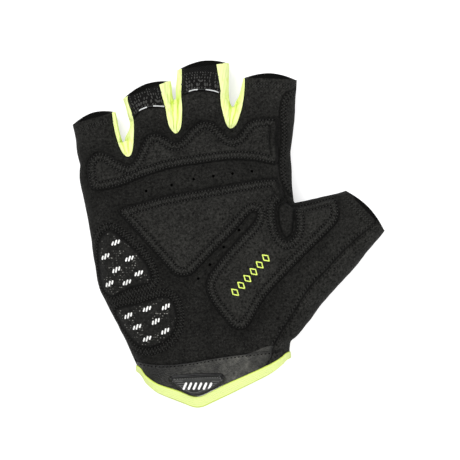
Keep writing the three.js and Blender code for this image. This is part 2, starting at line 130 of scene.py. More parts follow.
THUMB_ROWS = [
    (0.606, 0.548, 0.568, 0.235, 0.72, 0, 2.4),
    (0.650, 0.572, 0.640, 0.196, 0.93, 0, -0.4),
    (0.707, 0.586, 0.706, 0.196, 1.00, 0, -0.8),
    (0.786, 0.604, 0.805, 0.303, 0.99, 0, 0.3),
    (0.837, 0.615, 0.898, 0.398, 0.95, 0, 1.8),
    (0.874, 0.624, 0.999, 0.508, 0.90, 0, 3.0),
]
# Columns: across from -1 to 1, how far the palm hem dips, width of the binding.
HEM = [
    (-1.00, 0.0, 3.0),
    (-0.84, 7.4, 4.0),
    (-0.70, 10.1, 4.4),
    (-0.49, 12.9, 5.1),
    (-0.25, 17.2, 5.1),
    (0.145, 11.8, 5.4),
    (0.74, 4.8, 4.3),
    (1.00, 0.0, 3.0),
]

# %% [markdown]
# A limb is a loft: closed sections one after another, joined into a skin. Each section is
# a circle whose points are moved to a rounded, flattened oval. Rows between the measured
# ones come from a smooth curve through them, so that no ridge shows.

# %% Helpers: sections and lofts


def place(across, along):
    return Vector(((across - 0.5) * GLOVE_WIDTH, (along - 0.5) * GLOVE_LENGTH)) + OUTLINE_SHIFT


def smooth_row(rows, t):
    """The row at place t of a table, on a smooth curve through its rows."""
    i = min(int(t), len(rows) - 2)
    f = t - i
    near = [rows[min(max(i + k, 0), len(rows) - 1)] for k in (-1, 0, 1, 2)]
    return [
        0.5 * (2 * b + (c - a) * f + (2 * a - 5 * b + 4 * c - d) * f * f + (3 * b - a - 3 * c + d) * f**3)
        for a, b, c, d in zip(*near)
    ]


def hem_value(across, column):
    """A column of the hem table, averaged a little so that its corners are soft."""
    total = 0
    for step in (-0.08, -0.04, 0, 0.04, 0.08):
        x = min(max(across + step, -1), 1)
        for a, b in zip(HEM, HEM[1:]):
            if x <= b[0]:
                total += a[column] + (b[column] - a[column]) * (x - a[0]) / (b[0] - a[0])
                break
    edge = min(1, (1 - abs(across)) / 0.1)
    return total / 5 if column == 2 else total / 5 * edge


def section(row, thickness, mid, count, grow, slide, floor=None):
    """The points of one closed section. slide(across, up) moves them along the limb."""
    left, right = place(row[0], row[1]), place(row[2], row[3])
    side = right - left
    half = side.length / 2 + grow
    side.normalize()
    along = Vector((-side.y, side.x))
    middle = (left + right) / 2
    top = row[4] * thickness
    floor = -grow if floor is None else floor
    points = []
    for i in range(count):
        angle = 2 * math.pi * i / count
        x, z = math.cos(angle), math.sin(angle)
        x = math.copysign(abs(x) ** (2 / SECTION_POWER), x)
        z = math.copysign(abs(z) ** (2 / SECTION_POWER), z)
        reach = (top - mid if z > 0 else mid - row[6]) + grow
        flat = middle + side * half * x + along * slide(x, z)
        points.append(Vector((flat.x, flat.y, max(mid + reach * z, floor))))
    return points


def ring_edges(verts):
    inside = set(verts)
    return list({edge for vert in verts for edge in vert.link_edges if edge.other_vert(vert) in inside})


def add_loft(bm, rings, closed=False):
    """Extrudes a circle from section to section, and moves each new ring into its place."""
    ring = bmesh.ops.create_circle(bm, segments=len(rings[0]), radius=1)["verts"]
    first = edges = ring_edges(ring)
    for count, points in enumerate(rings):
        if count:
            made = bmesh.ops.extrude_edge_only(bm, edges=edges)["geom"]
            fresh = {item for item in made if isinstance(item, bmesh.types.BMVert)}
            ring = [next(e.other_vert(v) for e in v.link_edges if e.other_vert(v) in fresh) for v in ring]
            edges = ring_edges(ring)
        for vert, point in zip(ring, points):
            vert.co = point
    if closed:
        bmesh.ops.bridge_loops(bm, edges=first + edges)
    else:
        bmesh.ops.edgeloop_fill(bm, edges=first)
        bmesh.ops.edgeloop_fill(bm, edges=edges)


def rim_slide(across, up, rim):
    """How far a rim goes out: evenly, and with a bulge on the back of the hand."""
    bulge, out = rim
    return out + (0 if up > 0 else bulge) * (1 - across * across)


def hem_slide(across, up):
    return -hem_value(across, 1) if up > 0 else 0


LIMBS = [
    (BODY_ROWS, PALM_THICKNESS, SEAM_HEIGHT, 128, None),
    (LITTLE_ROWS, FINGER_THICKNESS, 0.46 * FINGER_THICKNESS, 64, FINGER_RIM),
    (RING_ROWS, FINGER_THICKNESS, 0.46 * FINGER_THICKNESS, 64, FINGER_RIM),
    (MIDDLE_ROWS, FINGER_THICKNESS, 0.46 * FINGER_THICKNESS, 64, FINGER_RIM),
    (INDEX_ROWS, FINGER_THICKNESS, 0.46 * FINGER_THICKNESS, 64, FINGER_RIM),
    (THUMB_ROWS, THUMB_THICKNESS, 0.46 * THUMB_THICKNESS, 80, THUMB_RIM),
]


def limb_rings(limb, grow, overrun):
    rows, thickness, mid, count, rim = limb
    is_body = rows is BODY_ROWS
    last = len(rows) - 1
    steps = 6
    rings = []
    for k in range(last * steps + 1):
        t = k / steps
        row = smooth_row(rows, t)
        hem = max(0.0, 1 - t) if is_body else 0.0
        far_end = max(0.0, t - last + 1)

        def slide(x, z, row=row, hem=hem, far_end=far_end):
            ends = far_end * rim_slide(x, z, rim) if rim else hem * hem_slide(x, z) + far_end * grow
            return row[5] * (1 - x * x) + ends

        if is_body and k == 0:
            for extra in (overrun, overrun / 2):
                rings.append(section(row, thickness, mid, count, grow, lambda x, z, e=extra: hem_slide(x, z) - e))
        rings.append(section(row, thickness, mid, count, grow, slide))
        if not is_body and k == last * steps:
            for extra in (overrun / 2, overrun):
                rings.append(section(row, thickness, mid, count, grow, lambda x, z, e=extra: rim_slide(x, z, rim) + e))
    return rings


# %% [markdown]
# Objects in millimetres are workbenches: they are made, changed and removed. A modifier is
# applied by taking the mesh that it gives. The last step of a piece moves it to metres and
# gives it its finish.

# %% Helpers: meshes, modifiers and finished pieces


def bench(bm, name):
    bmesh.ops.recalc_face_normals(bm, faces=bm.faces[:])
    mesh = bpy.data.meshes.new(name)
    bm.to_mesh(mesh)
    bm.free()
    obj = bpy.data.objects.new(name, mesh)
    bpy.context.scene.collection.objects.link(obj)
    return obj


def apply_modifiers(obj):
    graph = bpy.context.evaluated_depsgraph_get()
    fresh = bpy.data.meshes.new_from_object(obj.evaluated_get(graph))
    old = obj.data
    obj.modifiers.clear()
    obj.data = fresh
    bpy.data.meshes.remove(old)
    return obj


def remeshed(obj, voxel, smoothing):
    remesh = obj.modifiers.new("remesh", "REMESH")
    remesh.mode = "VOXEL"
    remesh.voxel_size = voxel
    if smoothing:
        smooth = obj.modifiers.new("smooth", "SMOOTH")
        smooth.factor = 0.5
        smooth.iterations = smoothing
    return apply_modifiers(obj)


def cut(obj, other, operation, keep_other=False):
    boolean = obj.modifiers.new("cut", "BOOLEAN")
    boolean.operation = operation
    boolean.solver = "MANIFOLD"
    boolean.object = other
    apply_modifiers(obj)
    if not keep_other:
        bin_bench(other)
    return obj


def bin_bench(obj):
    mesh = obj.data
    bpy.data.objects.remove(obj)
    bpy.data.meshes.remove(mesh)


def twin(obj, name):
    copy = bpy.data.objects.new(name, obj.data.copy())
    bpy.context.scene.collection.objects.link(copy)
    return copy


def keep_largest(obj):
    """Removes the crumbs that a cut leaves beside the piece."""
    bm = bmesh.new()
    bm.from_mesh(obj.data)
    bm.faces.ensure_lookup_table()
    seen, groups = set(), []
    for face in bm.faces:
        if face.index in seen:
            continue
        seen.add(face.index)
        stack, group = [face], []
        while stack:
            here = stack.pop()
            group.append(here)
            for edge in here.edges:
                for near in edge.link_faces:
                    if near.index not in seen:
                        seen.add(near.index)
                        stack.append(near)
        groups.append(group)
    groups.sort(key=len)
    for group in groups[:-1]:
        bmesh.ops.delete(bm, geom=group, context="FACES")
    bm.to_mesh(obj.data)
    bm.free()
    return obj


def finish_piece(obj, name, finish, replaced=(), sharp=40):
    """Moves the piece to metres, names it and ties it to the frame."""
    obj.name = name
    obj.data.transform(Matrix.Scale(MM, 4))
    finishes = finish if isinstance(finish, (list, tuple)) else [finish]
    parts = [face.material_index if len(finishes) > 1 else 0 for face in obj.data.polygons]
    obj.data.materials.clear()
    for material in finishes:
        obj.data.materials.append(material)
    obj.data.polygons.foreach_set("material_index", parts)
    obj.data.polygons.foreach_set("use_smooth", [True] * len(obj.data.polygons))
    obj.data.set_sharp_from_angle(angle=math.radians(sharp))
    obj.data.update()
    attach(obj, "root")
    if replaced:
        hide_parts(*replaced)
    print(f"{name}: {len(obj.data.polygons)} faces")
    return obj


# %% [markdown]
# Outlines of panels and pads are drawn as a few measured points with a smooth curve through
# them. A kd-tree of points along such a curve tells how far any place is from it, which
# later shapes sewn edges and stitch channels.

# %% Helpers: outlines


def curve_through(shares, closed=True, step=0.6):
    points = [place(*share) for share in shares]
    count = len(points)
    line = []
    for i in range(count if closed else count - 1):
        if closed:
            a, b, c, d = (points[(i + k) % count] for k in (-1, 0, 1, 2))
        else:
            a, b, c, d = (points[min(max(i + k, 0), count - 1)] for k in (-1, 0, 1, 2))
        parts = max(1, round((c - b).length / step))
        for k in range(parts):
            f = k / parts
            line.append(
                0.5 * (2 * b + (c - a) * f + (2 * a - 5 * b + 4 * c - d) * f * f + (3 * b - a - 3 * c + d) * f**3)
            )
    if not closed:
        line.append(points[-1])
    return line


def signed_area(line):
    return sum(a.x * b.y - b.x * a.y for a, b in zip(line, line[1:] + line[:1])) / 2


def tree_of(line):
    tree = KDTree(len(line))
    for i, point in enumerate(line):
        tree.insert((point.x, point.y, 0), i)
    tree.balance()
    return tree


def moved_outline(line, distance):
    """The outline moved outward, or inward where distance is negative."""
    turn = 1 if signed_area(line) > 0 else -1
    count = len(line)
    tree = tree_of(line)
    moved = []
    for i, point in enumerate(line):
        run = (line[(i + 2) % count] - line[i - 2]).normalized()
        normal = Vector((run.y, -run.x)) * turn
        there = point + normal * distance
        if tree.find((there.x, there.y, 0))[2] > abs(distance) * 0.93:
            moved.append(there)
    return moved


def prism(line, bottom, top, name="prism"):
    """An upright solid over an outline: a filled circle whose points move to the outline."""
    bm = bmesh.new()
    verts = bmesh.ops.create_circle(bm, cap_ends=True, segments=len(line), radius=1)["verts"]
    for vert, point in zip(verts, line):
        vert.co = (point.x, point.y, bottom)
    made = bmesh.ops.extrude_face_region(bm, geom=bm.faces[:])["geom"]
    raised = [v for v in made if isinstance(v, bmesh.types.BMVert)]
    bmesh.ops.translate(bm, verts=raised, vec=(0, 0, top - bottom))
    bmesh.ops.triangulate(bm, faces=[f for f in bm.faces if len(f.verts) > 4])
    return bench(bm, name)


# %% Outlines of the panels and pads, in shares of the width and the length
GUSSETS = {
    "gusset_little_ring": [
        (0.125, 0.885), (0.128, 0.839), (0.133, 0.808), (0.143, 0.771), (0.155, 0.742), (0.167, 0.726),
        (0.178, 0.721), (0.188, 0.727), (0.195, 0.752), (0.197, 0.808), (0.192, 0.841), (0.178, 0.878),
        (0.171, 0.908),
    ],
    "gusset_ring_middle": [
        (0.262, 0.990), (0.269, 0.960), (0.280, 0.922), (0.288, 0.893), (0.298, 0.860), (0.304, 0.830),
        (0.312, 0.805), (0.330, 0.788), (0.345, 0.801), (0.350, 0.830), (0.351, 0.863), (0.348, 0.900),
        (0.350, 0.955), (0.346, 0.998), (0.330, 1.030), (0.280, 1.030),
    ],
    "gusset_middle_index": [
        (0.458, 1.030), (0.460, 0.996), (0.462, 0.980), (0.467, 0.952), (0.473, 0.918), (0.475, 0.874),
        (0.490, 0.820), (0.504, 0.803), (0.523, 0.813), (0.539, 0.851), (0.546, 0.882), (0.550, 0.913),
        (0.551, 0.941), (0.548, 0.985), (0.540, 1.030),
    ],
}
INDEX_SIDE = [
    (0.760, 0.930), (0.718, 0.921), (0.700, 0.912), (0.683, 0.905), (0.668, 0.885), (0.662, 0.841),
    (0.666, 0.788), (0.662, 0.735), (0.660, 0.695), (0.666, 0.654), (0.684, 0.622), (0.696, 0.609),
    (0.712, 0.606), (0.760, 0.630),
]
THUMB_SIDE = [
    (1.040, 0.585), (0.949, 0.515), (0.893, 0.473), (0.850, 0.434), (0.802, 0.386), (0.754, 0.340),
    (0.715, 0.283), (0.680, 0.233), (0.645, 0.180), (0.636, 0.150), (0.636, 0.060), (1.144, 0.060),
    (1.144, 0.585),
]
CUFF = [
    (0.150, 0.150), (0.206, 0.131), (0.264, 0.123), (0.321, 0.123), (0.392, 0.131), (0.461, 0.142),
    (0.552, 0.153), (0.660, 0.163), (0.660, -0.060), (0.150, -0.060),
]
RING_BAND = [
    (0.150, 1.000), (0.150, 0.812), (0.195, 0.830), (0.219, 0.852), (0.254, 0.862), (0.306, 0.860),
    (0.328, 0.855), (0.336, 1.000),
]
MIDDLE_BAND = [
    (0.312, 1.029), (0.312, 0.885), (0.347, 0.896), (0.379, 0.907), (0.418, 0.910), (0.453, 0.906),
    (0.491, 0.893), (0.536, 0.885), (0.536, 1.029),
]
KNUCKLE_PAD = [
    (0.050, 0.666), (0.049, 0.700), (0.059, 0.719), (0.082, 0.733), (0.110, 0.730), (0.139, 0.712),
    (0.178, 0.696), (0.200, 0.710), (0.216, 0.741), (0.235, 0.775), (0.258, 0.788), (0.286, 0.784),
    (0.309, 0.771), (0.330, 0.762), (0.350, 0.772), (0.376, 0.798), (0.405, 0.820), (0.430, 0.823),
    (0.456, 0.816), (0.482, 0.793), (0.507, 0.776), (0.530, 0.782), (0.555, 0.813), (0.581, 0.828),
    (0.613, 0.831), (0.654, 0.826), (0.655, 0.767), (0.654, 0.703), (0.584, 0.709), (0.507, 0.712),
    (0.386, 0.698), (0.304, 0.685), (0.222, 0.661), (0.149, 0.635), (0.082, 0.625), (0.059, 0.634),
]
PALM_PAD = [
    (0.152, 0.569), (0.226, 0.589), (0.299, 0.607), (0.408, 0.625), (0.504, 0.640), (0.594, 0.654),
    (0.651, 0.657), (0.661, 0.637), (0.677, 0.614), (0.670, 0.594), (0.651, 0.579), (0.650, 0.539),
    (0.661, 0.501), (0.683, 0.480), (0.706, 0.494), (0.715, 0.527), (0.715, 0.576), (0.776, 0.594),
    (0.834, 0.605), (0.850, 0.579), (0.851, 0.550), (0.834, 0.522), (0.786, 0.478), (0.728, 0.427),
    (0.651, 0.354), (0.606, 0.305), (0.578, 0.259), (0.558, 0.232), (0.536, 0.225), (0.510, 0.233),
    (0.478, 0.265), (0.443, 0.308), (0.429, 0.346), (0.437, 0.378), (0.462, 0.411), (0.508, 0.461),
    (0.569, 0.520), (0.590, 0.550), (0.581, 0.563), (0.562, 0.553), (0.517, 0.507), (0.462, 0.458),
    (0.405, 0.405), (0.376, 0.382), (0.347, 0.378), (0.321, 0.389), (0.274, 0.436), (0.217, 0.495),
    (0.158, 0.553),
]
UPPER_HEEL_PAD = [
    (0.125, 0.508), (0.162, 0.485), (0.208, 0.446), (0.238, 0.411), (0.252, 0.378), (0.245, 0.360),
    (0.196, 0.347), (0.156, 0.331), (0.128, 0.320), (0.104, 0.336), (0.091, 0.375), (0.085, 0.432),
    (0.088, 0.480), (0.104, 0.501),
]
LOWER_HEEL_PAD = [
    (0.144, 0.282), (0.216, 0.298), (0.291, 0.318), (0.321, 0.303), (0.333, 0.270), (0.330, 0.237),
    (0.312, 0.204), (0.278, 0.182), (0.238, 0.173), (0.208, 0.182), (0.180, 0.209), (0.156, 0.242),
]
CROTCH_PATCH = [
    (0.660, 0.576), (0.658, 0.545), (0.666, 0.510), (0.682, 0.488), (0.699, 0.500), (0.705, 0.524),
    (0.706, 0.573), (0.683, 0.588),
]
PULL_TAB = [
    (0.314, 0.076), (0.328, 0.089), (0.398, 0.093), (0.469, 0.095), (0.485, 0.079), (0.390, 0.035),
]
RING_PIPING = [(0.203, 0.843), (0.219, 0.856), (0.254, 0.866), (0.298, 0.865)]
MIDDLE_PIPING = [(0.358, 0.903), (0.385, 0.912), (0.418, 0.914), (0.453, 0.910), (0.471, 0.904)]
HOLES = [
    (0.237, 0.622), (0.318, 0.639), (0.388, 0.656), (0.451, 0.665), (0.512, 0.672), (0.574, 0.679),
    (0.533, 0.510), (0.484, 0.461), (0.440, 0.411), (0.403, 0.371),
]

# %% [markdown]
# ## The hand form
#
# The palm, fingers and thumb are sewn from flat panels, but worn in they make one smooth
# form. All the lofts are joined by a voxel remesh, which melts overlapping solids into one
# skin, and a little smoothing softens the creases between the limbs. The same lofts,
# thinner by the wall, make the hollow.

# %% Outer and inner form


def hand_form(grow, overrun, name, voxel, smoothing):
    bm = bmesh.new()
    for limb in LIMBS:
        add_loft(bm, limb_rings(limb, grow, overrun))
    return remeshed(bench(bm, name), voxel, smoothing)


outer = hand_form(0, OVERRUN, "outer", OUTER_VOXEL, OUTER_SMOOTHING)
inner = hand_form(-WALL, OVERRUN + 6, "inner", INNER_VOXEL, 2)
print("outer form", len(outer.data.polygons), "faces; inner form", len(inner.data.polygons), "faces")

# %% [markdown]
# Sewn seams pull the cloth down into a shallow channel, and worn suede is never quite
# even. Both are small moves of the outer form before it is cut into panels.

# %% Seam channels and soft unevenness
SEAM_CHANNEL = 0.6
SEAM_SPREAD = 0.8
PAD_CHANNEL = 0.45
THUMB_FOLD = [(0.672, 0.640), (0.682, 0.605), (0.697, 0.583), (0.735, 0.581), (0.790, 0.591), (0.842, 0.607)]
PAD_LINES = [KNUCKLE_PAD, PALM_PAD, UPPER_HEEL_PAD, LOWER_HEEL_PAD, CROTCH_PATCH]
SEAM_LINES = [*GUSSETS.values(), INDEX_SIDE, THUMB_SIDE, RING_BAND, MIDDLE_BAND]
seam_points = [point for line in SEAM_LINES for point in curve_through(line, step=0.3)]
for open_line in (THUMB_FOLD, CUFF[:8]):
    seam_points += curve_through(open_line, closed=False, step=0.3)
seam_tree = tree_of(seam_points)
pad_tree = tree_of([point for line in PAD_LINES for point in curve_through(line, step=0.3)])
bm = bmesh.new()
bm.from_mesh(outer.data)
bm.normal_update()
for vert in bm.verts:
    uneven = 0.28 * noise.noise(vert.co / 9.0) + 0.15 * noise.noise(vert.co / 4.0 + Vector((7, 3, 1)))
    shift = vert.normal * uneven
    if vert.co.z > SEAM_HEIGHT and vert.normal.z > 0.15:
        spot = (vert.co.x, vert.co.y, 0)
        shift -= vert.normal * SEAM_CHANNEL * math.exp(-((seam_tree.find(spot)[2] / SEAM_SPREAD) ** 2))
        shift -= vert.normal * PAD_CHANNEL * math.exp(-((pad_tree.find(spot)[2] / 0.9) ** 2))
    if vert.co.z < 1.2:
        shift.z = max(shift.z, 0) * 0.3
    vert.co += shift
    vert.co.z = max(vert.co.z, 0)
bm.to_mesh(outer.data)
outer_tree = BVHTree.FromBMesh(bm)
bm.free()


def skin_height(x, y):
    """The height of the hand form's palm side at a place of the top view."""
    hit = outer_tree.ray_cast(Vector((x, y, 80)), Vector((0, 0, -1)))[0]
    return hit.z if hit else SEAM_HEIGHT


# %% [markdown]
# The openings are cut with solids that start exactly at each rim. Each has the rim's own
# bulge, so the back of a finger stands a little further out than its palm side.

# %% Hollow shell with its openings cut


def opening_cutter(row, thickness, mid, count, slides, name):
    """A solid past an opening. Its two ends step in to a smaller ring, inside the hollow."""

    def ring(slide, grow):
        return section(row, thickness, mid, count, grow, slide, floor=-2.0)

    rings = [ring(slides[0], -WALL - 1.2)]
    rings += [ring(slide, 2.5) for slide in slides]
    rings += [ring(slides[-1], -WALL - 1.2)]
    bm = bmesh.new()
    add_loft(bm, rings)
    return bench(bm, name)


shell = cut(outer, inner, "DIFFERENCE")
for rows, thickness, mid, count, rim in LIMBS[1:]:
    past = [lambda x, z, e=extra, r=rim: rim_slide(x, z, r) + e for extra in (0, 3, 6, OVERRUN + 3)]
    cut(shell, opening_cutter(rows[-1], thickness, mid, count, past, "rim_cutter"), "DIFFERENCE")
past = [lambda x, z, e=extra: hem_slide(x, z) - e for extra in (OVERRUN + 3, 5, 0)]
cut(shell, opening_cutter(BODY_ROWS[0], PALM_THICKNESS, SEAM_HEIGHT, 192, past, "hem_cutter"), "DIFFERENCE")
print("shell", len(shell.data.polygons), "faces")

# %% [markdown]
# ## Finishes
#
# Every finish is built from nodes on Object coordinates, so a pattern keeps its real size
# in metres on every piece. The helpers below make the few nodes that all the finishes use.

# %% Helpers: material nodes


class Finish:
    """A material with short helpers for its nodes."""

    def __init__(self, name, roughness, sheen=0.0, specular=0.3):
        self.material = bpy.data.materials.new(name)
        self.material.use_nodes = True
        self.nodes = self.material.node_tree.nodes
        self.links = self.material.node_tree.links
        self.shader = self.nodes["Principled BSDF"]
        self.shader.inputs["Roughness"].default_value = roughness
        self.shader.inputs["Specular IOR Level"].default_value = specular
        self.shader.inputs["Sheen Weight"].default_value = sheen
        self.shader.inputs["Sheen Roughness"].default_value = 0.4
        self.place = self.nodes.new("ShaderNodeTexCoord").outputs["Object"]

    def noise(self, scale, detail=3.0, roughness=0.6):
        node = self.nodes.new("ShaderNodeTexNoise")
        node.inputs["Scale"].default_value = scale
        node.inputs["Detail"].default_value = detail
        node.inputs["Roughness"].default_value = roughness
        self.links.new(self.place, node.inputs["Vector"])
        return node.outputs["Fac"]

    def cells(self, scale, randomness=1.0):
        node = self.nodes.new("ShaderNodeTexVoronoi")
        node.inputs["Scale"].default_value = scale
        node.inputs["Randomness"].default_value = randomness
        self.links.new(self.place, node.inputs["Vector"])
        return node.outputs["Distance"]

    def ramp(self, value, stops):
        node = self.nodes.new("ShaderNodeValToRGB")
        while len(node.color_ramp.elements) < len(stops):
            node.color_ramp.elements.new(0.5)
        for element, (where, color) in zip(node.color_ramp.elements, stops):
            element.position = where
            element.color = (*color, 1)
        self.links.new(value, node.inputs["Fac"])
        return node.outputs["Color"]

    def mix(self, factor, first, second, blend="MIX"):
        node = self.nodes.new("ShaderNodeMix")
        node.data_type = "RGBA"
        node.blend_type = blend
        for socket, value in ((0, factor), (6, first), (7, second)):
            if isinstance(value, (int, float)):
                node.inputs[socket].default_value = value
            elif isinstance(value, tuple):
                node.inputs[socket].default_value = (*value, 1)
            else:
                self.links.new(value, node.inputs[socket])
        return node.outputs[2]

    def math(self, operation, *values):
        node = self.nodes.new("ShaderNodeMath")
        node.operation = operation
        for socket, value in zip(node.inputs, values):
            if isinstance(value, (int, float)):
                socket.default_value = value
            else:
                self.links.new(value, socket)
        return node.outputs[0]

    def wave(self, axis, pitch, phase=0.0):
        """Sine of the distance along an axis, once per pitch in metres."""
        split = self.nodes.new("ShaderNodeSeparateXYZ")
        self.links.new(self.place, split.inputs[0])
        return self.math("SINE", self.math("MULTIPLY_ADD", split.outputs[axis], 2 * math.pi / pitch, phase))

    def attribute(self, name):
        node = self.nodes.new("ShaderNodeAttribute")
        node.attribute_name = name
        return node.outputs["Fac"]

    def bump(self, height, distance, strength=1.0):
        node = self.nodes.new("ShaderNodeBump")
        node.inputs["Distance"].default_value = distance
        node.inputs["Strength"].default_value = strength
        self.links.new(height, node.inputs["Height"])
        self.links.new(node.outputs["Normal"], self.shader.inputs["Normal"])

    def color(self, value):
        self.links.new(value, self.shader.inputs["Base Color"])
        return self


# %% Suede and knit
GREY = Vector((1.0, 0.995, 0.95))


def grey(value):
    return tuple(value * GREY)


def suede(name, base, contrast=0.9, fleck=0.13, lighter_up=0.0, lighter_across=0.0):
    """Napped cloth: cloudy tone, fine nap and a few pale fibre ends."""
    finish = Finish(name, 0.95, sheen=0.03, specular=0.08)
    nap = finish.noise(900, 4, 0.8)
    tone = finish.ramp(nap, [(0.34, grey(base * (1 - contrast))), (0.66, grey(base * (1 + contrast)))])
    cloud = finish.ramp(finish.noise(90, 3), [(0.3, grey(0.74)), (0.7, grey(1.20))])
    tone = finish.mix(1.0, tone, cloud, "MULTIPLY")
    split = finish.nodes.new("ShaderNodeSeparateXYZ")
    finish.links.new(finish.place, split.inputs[0])
    # Painted light: a straight slope along Y and X makes the cloth lighter towards one side of the glove and darker
    # towards the other.
    painted_light_slope = finish.math("MULTIPLY_ADD", split.outputs["Y"], lighter_up, 1.06)
    painted_light_slope = finish.math("MULTIPLY_ADD", split.outputs["X"], lighter_across, painted_light_slope)
    tone = finish.mix(1.0, tone, painted_light_slope, "MULTIPLY")
    ends = finish.ramp(finish.noise(1500, 2, 0.8), [(0.63, (0, 0, 0)), (0.76, (1, 1, 1))])
    tone = finish.mix(finish.math("MULTIPLY", ends, 0.4), tone, grey(fleck))
    # Painted shade: where the tone attribute is high, the colour goes to a much darker grey.
    tone = finish.mix(finish.math("MULTIPLY", finish.attribute("tone"), 0.8), tone, grey(base * 0.15))
    finish.color(tone)
    finish.bump(nap, 0.0004)
    return finish.material


def knit(name, base, contrast, pitch):
    """Knitted cloth: rows of loops along both axes, with the same painted shade near seams."""
    finish = Finish(name, 0.95, sheen=0.03, specular=0.08)
    loops = finish.math("MULTIPLY", finish.wave(0, pitch), finish.wave(1, pitch * 0.8))
    loops = finish.math("MULTIPLY_ADD", loops, 0.5, 0.5)
    yarn = finish.math("MULTIPLY", loops, finish.noise(900, 3))
    tone = finish.ramp(yarn, [(0.05, grey(base * (1 - contrast))), (0.5, grey(base * (1 + contrast)))])
    # Painted shade: where the tone attribute is high, the colour goes to a much darker grey.
    tone = finish.mix(finish.math("MULTIPLY", finish.attribute("tone"), 0.8), tone, grey(base * 0.15))
    finish.color(tone)
    finish.bump(loops, 0.0003)
    return finish.material


PALM_SUEDE = suede("palm_suede", 0.0116, lighter_up=2.4, lighter_across=2.2)
PAD_SUEDE = suede("pad_suede", 0.0162, lighter_up=-2.5)
INDEX_KNIT = suede("index_knit", 0.0100, 1.0, 0.15)
THUMB_KNIT = suede("thumb_knit", 0.0150, 1.0, 0.16)
BACK_KNIT = knit("back_knit", 0.018, 0.5, 0.0012)
BAND_KNIT = knit("band_knit", 0.0075, 0.75, 0.0011)

# %% [markdown]
# The cuff is smooth synthetic leather: small grain cells and a soft gloss. Its tone carries a painted highlight:
# lightest near the middle, beside the pull tab, darker towards the left end and a little darker again at the right.

# %% Cuff leather
leather = Finish("cuff_leather", 0.5, specular=0.3)
across = leather.nodes.new("ShaderNodeSeparateXYZ")
leather.links.new(leather.place, across.inputs[0])
# Painted highlight: the tone rises from dark at the left end to light near the middle, then falls a little towards the
# right end; noise softens it.
painted_light_across = leather.math("MULTIPLY_ADD", across.outputs["X"], 14.0, 0.62)
painted_light_across = leather.math("ADD", painted_light_across, leather.math("MULTIPLY_ADD", leather.noise(70, 3), 0.5, -0.25))
tone = leather.ramp(painted_light_across, [(0.15, grey(0.005)), (0.45, grey(0.025)), (0.68, grey(0.043)), (0.85, grey(0.019))])
for scale, darker, lighter in ((210, 0.48, 1.48), (520, 0.46, 1.60)):
    mottle = leather.ramp(leather.noise(scale, 4, 0.7), [(0.34, grey(darker)), (0.66, grey(lighter))])
    tone = leather.mix(1.0, tone, mottle, "MULTIPLY")
# Painted shade: where the tone attribute is high, the colour goes to a much darker grey.
leather.color(leather.mix(leather.math("MULTIPLY", leather.attribute("tone"), 0.8), tone, grey(0.004)))
leather.bump(leather.math("ADD", leather.cells(1300), leather.noise(350, 4)), 0.00035)
CUFF_LEATHER = leather.material

# %% [markdown]
# The lime cloth is a tightly woven stretch fabric. Its shade is painted into the colour: a deeper lime
# instead of grey where an attribute marks a fold, a side wall or a low edge.

# %% Lime cloth
LIME_LIGHT = (0.70, 0.79, 0.35)
LIME_MID = (0.62, 0.75, 0.13)
# Painted shade: the deepest lime, used in folds, down the side walls and low on the binding.
LIME_SHADE = (0.27, 0.38, 0.010)


def lime(name, light, ribs, rib_share, weave_share):
    finish = Finish(name, 0.8, sheen=0.05, specular=0.12)
    # Painted shade: the colour goes from light lime through mid lime to deep lime as the stored fold value rises.
    tone = finish.ramp(finish.attribute("fold_and_shade"), [(0.0, light), (0.4, LIME_MID), (1.0, LIME_SHADE)])
    weave = finish.noise(1300, 2)
    tone = finish.mix(finish.math("MULTIPLY", weave, weave_share), tone, LIME_MID)
    rib = finish.math("SINE", finish.math("MULTIPLY", finish.attribute("across"), ribs * 2 * math.pi))
    rib = finish.math("MULTIPLY_ADD", rib, 0.5, 0.5)
    finish.color(finish.mix(finish.math("MULTIPLY", rib, rib_share), tone, LIME_MID))
    finish.bump(finish.math("ADD", rib, weave), 0.00016)
    return finish.material


GUSSET_LIME = lime("gusset_lime", (0.80, 0.88, 0.41), 7, 0.03, 0.10)
BINDING_LIME = lime("binding_lime", LIME_LIGHT, 6, 0.22, 0.35)

# %% Window cloth, prints, rubber, threads and piping
window = Finish("window_cloth", 0.85, sheen=0.02, specular=0.12)
rows = window.math("MULTIPLY_ADD", window.wave(1, 0.0011), 0.5, 0.5)
knots = window.ramp(window.cells(1000), [(0.14, (1, 1, 1)), (0.42, (0, 0, 0))])
patches = window.ramp(window.noise(210, 2), [(0.46, (0.1, 0.1, 0.1)), (0.58, (1, 1, 1))])
knots = window.math("MULTIPLY", window.math("MULTIPLY", knots, rows), patches)
tone = window.ramp(knots, [(0.02, grey(0.0085)), (0.30, grey(0.045)), (0.7, grey(0.20))])
yarn = window.ramp(window.noise(800, 3, 0.7), [(0.36, grey(0.45)), (0.64, grey(1.6))])
tone = window.mix(1.0, tone, yarn, "MULTIPLY")
# Painted shade: where the tone attribute is high, the colour goes to a much darker grey.
window.color(window.mix(window.math("MULTIPLY", window.attribute("tone"), 0.8), tone, grey(0.002)))
window.bump(window.cells(1000), 0.0002)
WINDOW_CLOTH = window.material


def plain(name, color, roughness, specular=0.4, grain=0.0):
    finish = Finish(name, roughness, specular=specular)
    shade = tuple(c * 0.7 for c in color)
    finish.color(finish.ramp(finish.noise(700, 3), [(0.3, shade), (0.7, color)]))
    if grain:
        finish.bump(finish.noise(900, 3), grain)
    return finish.material


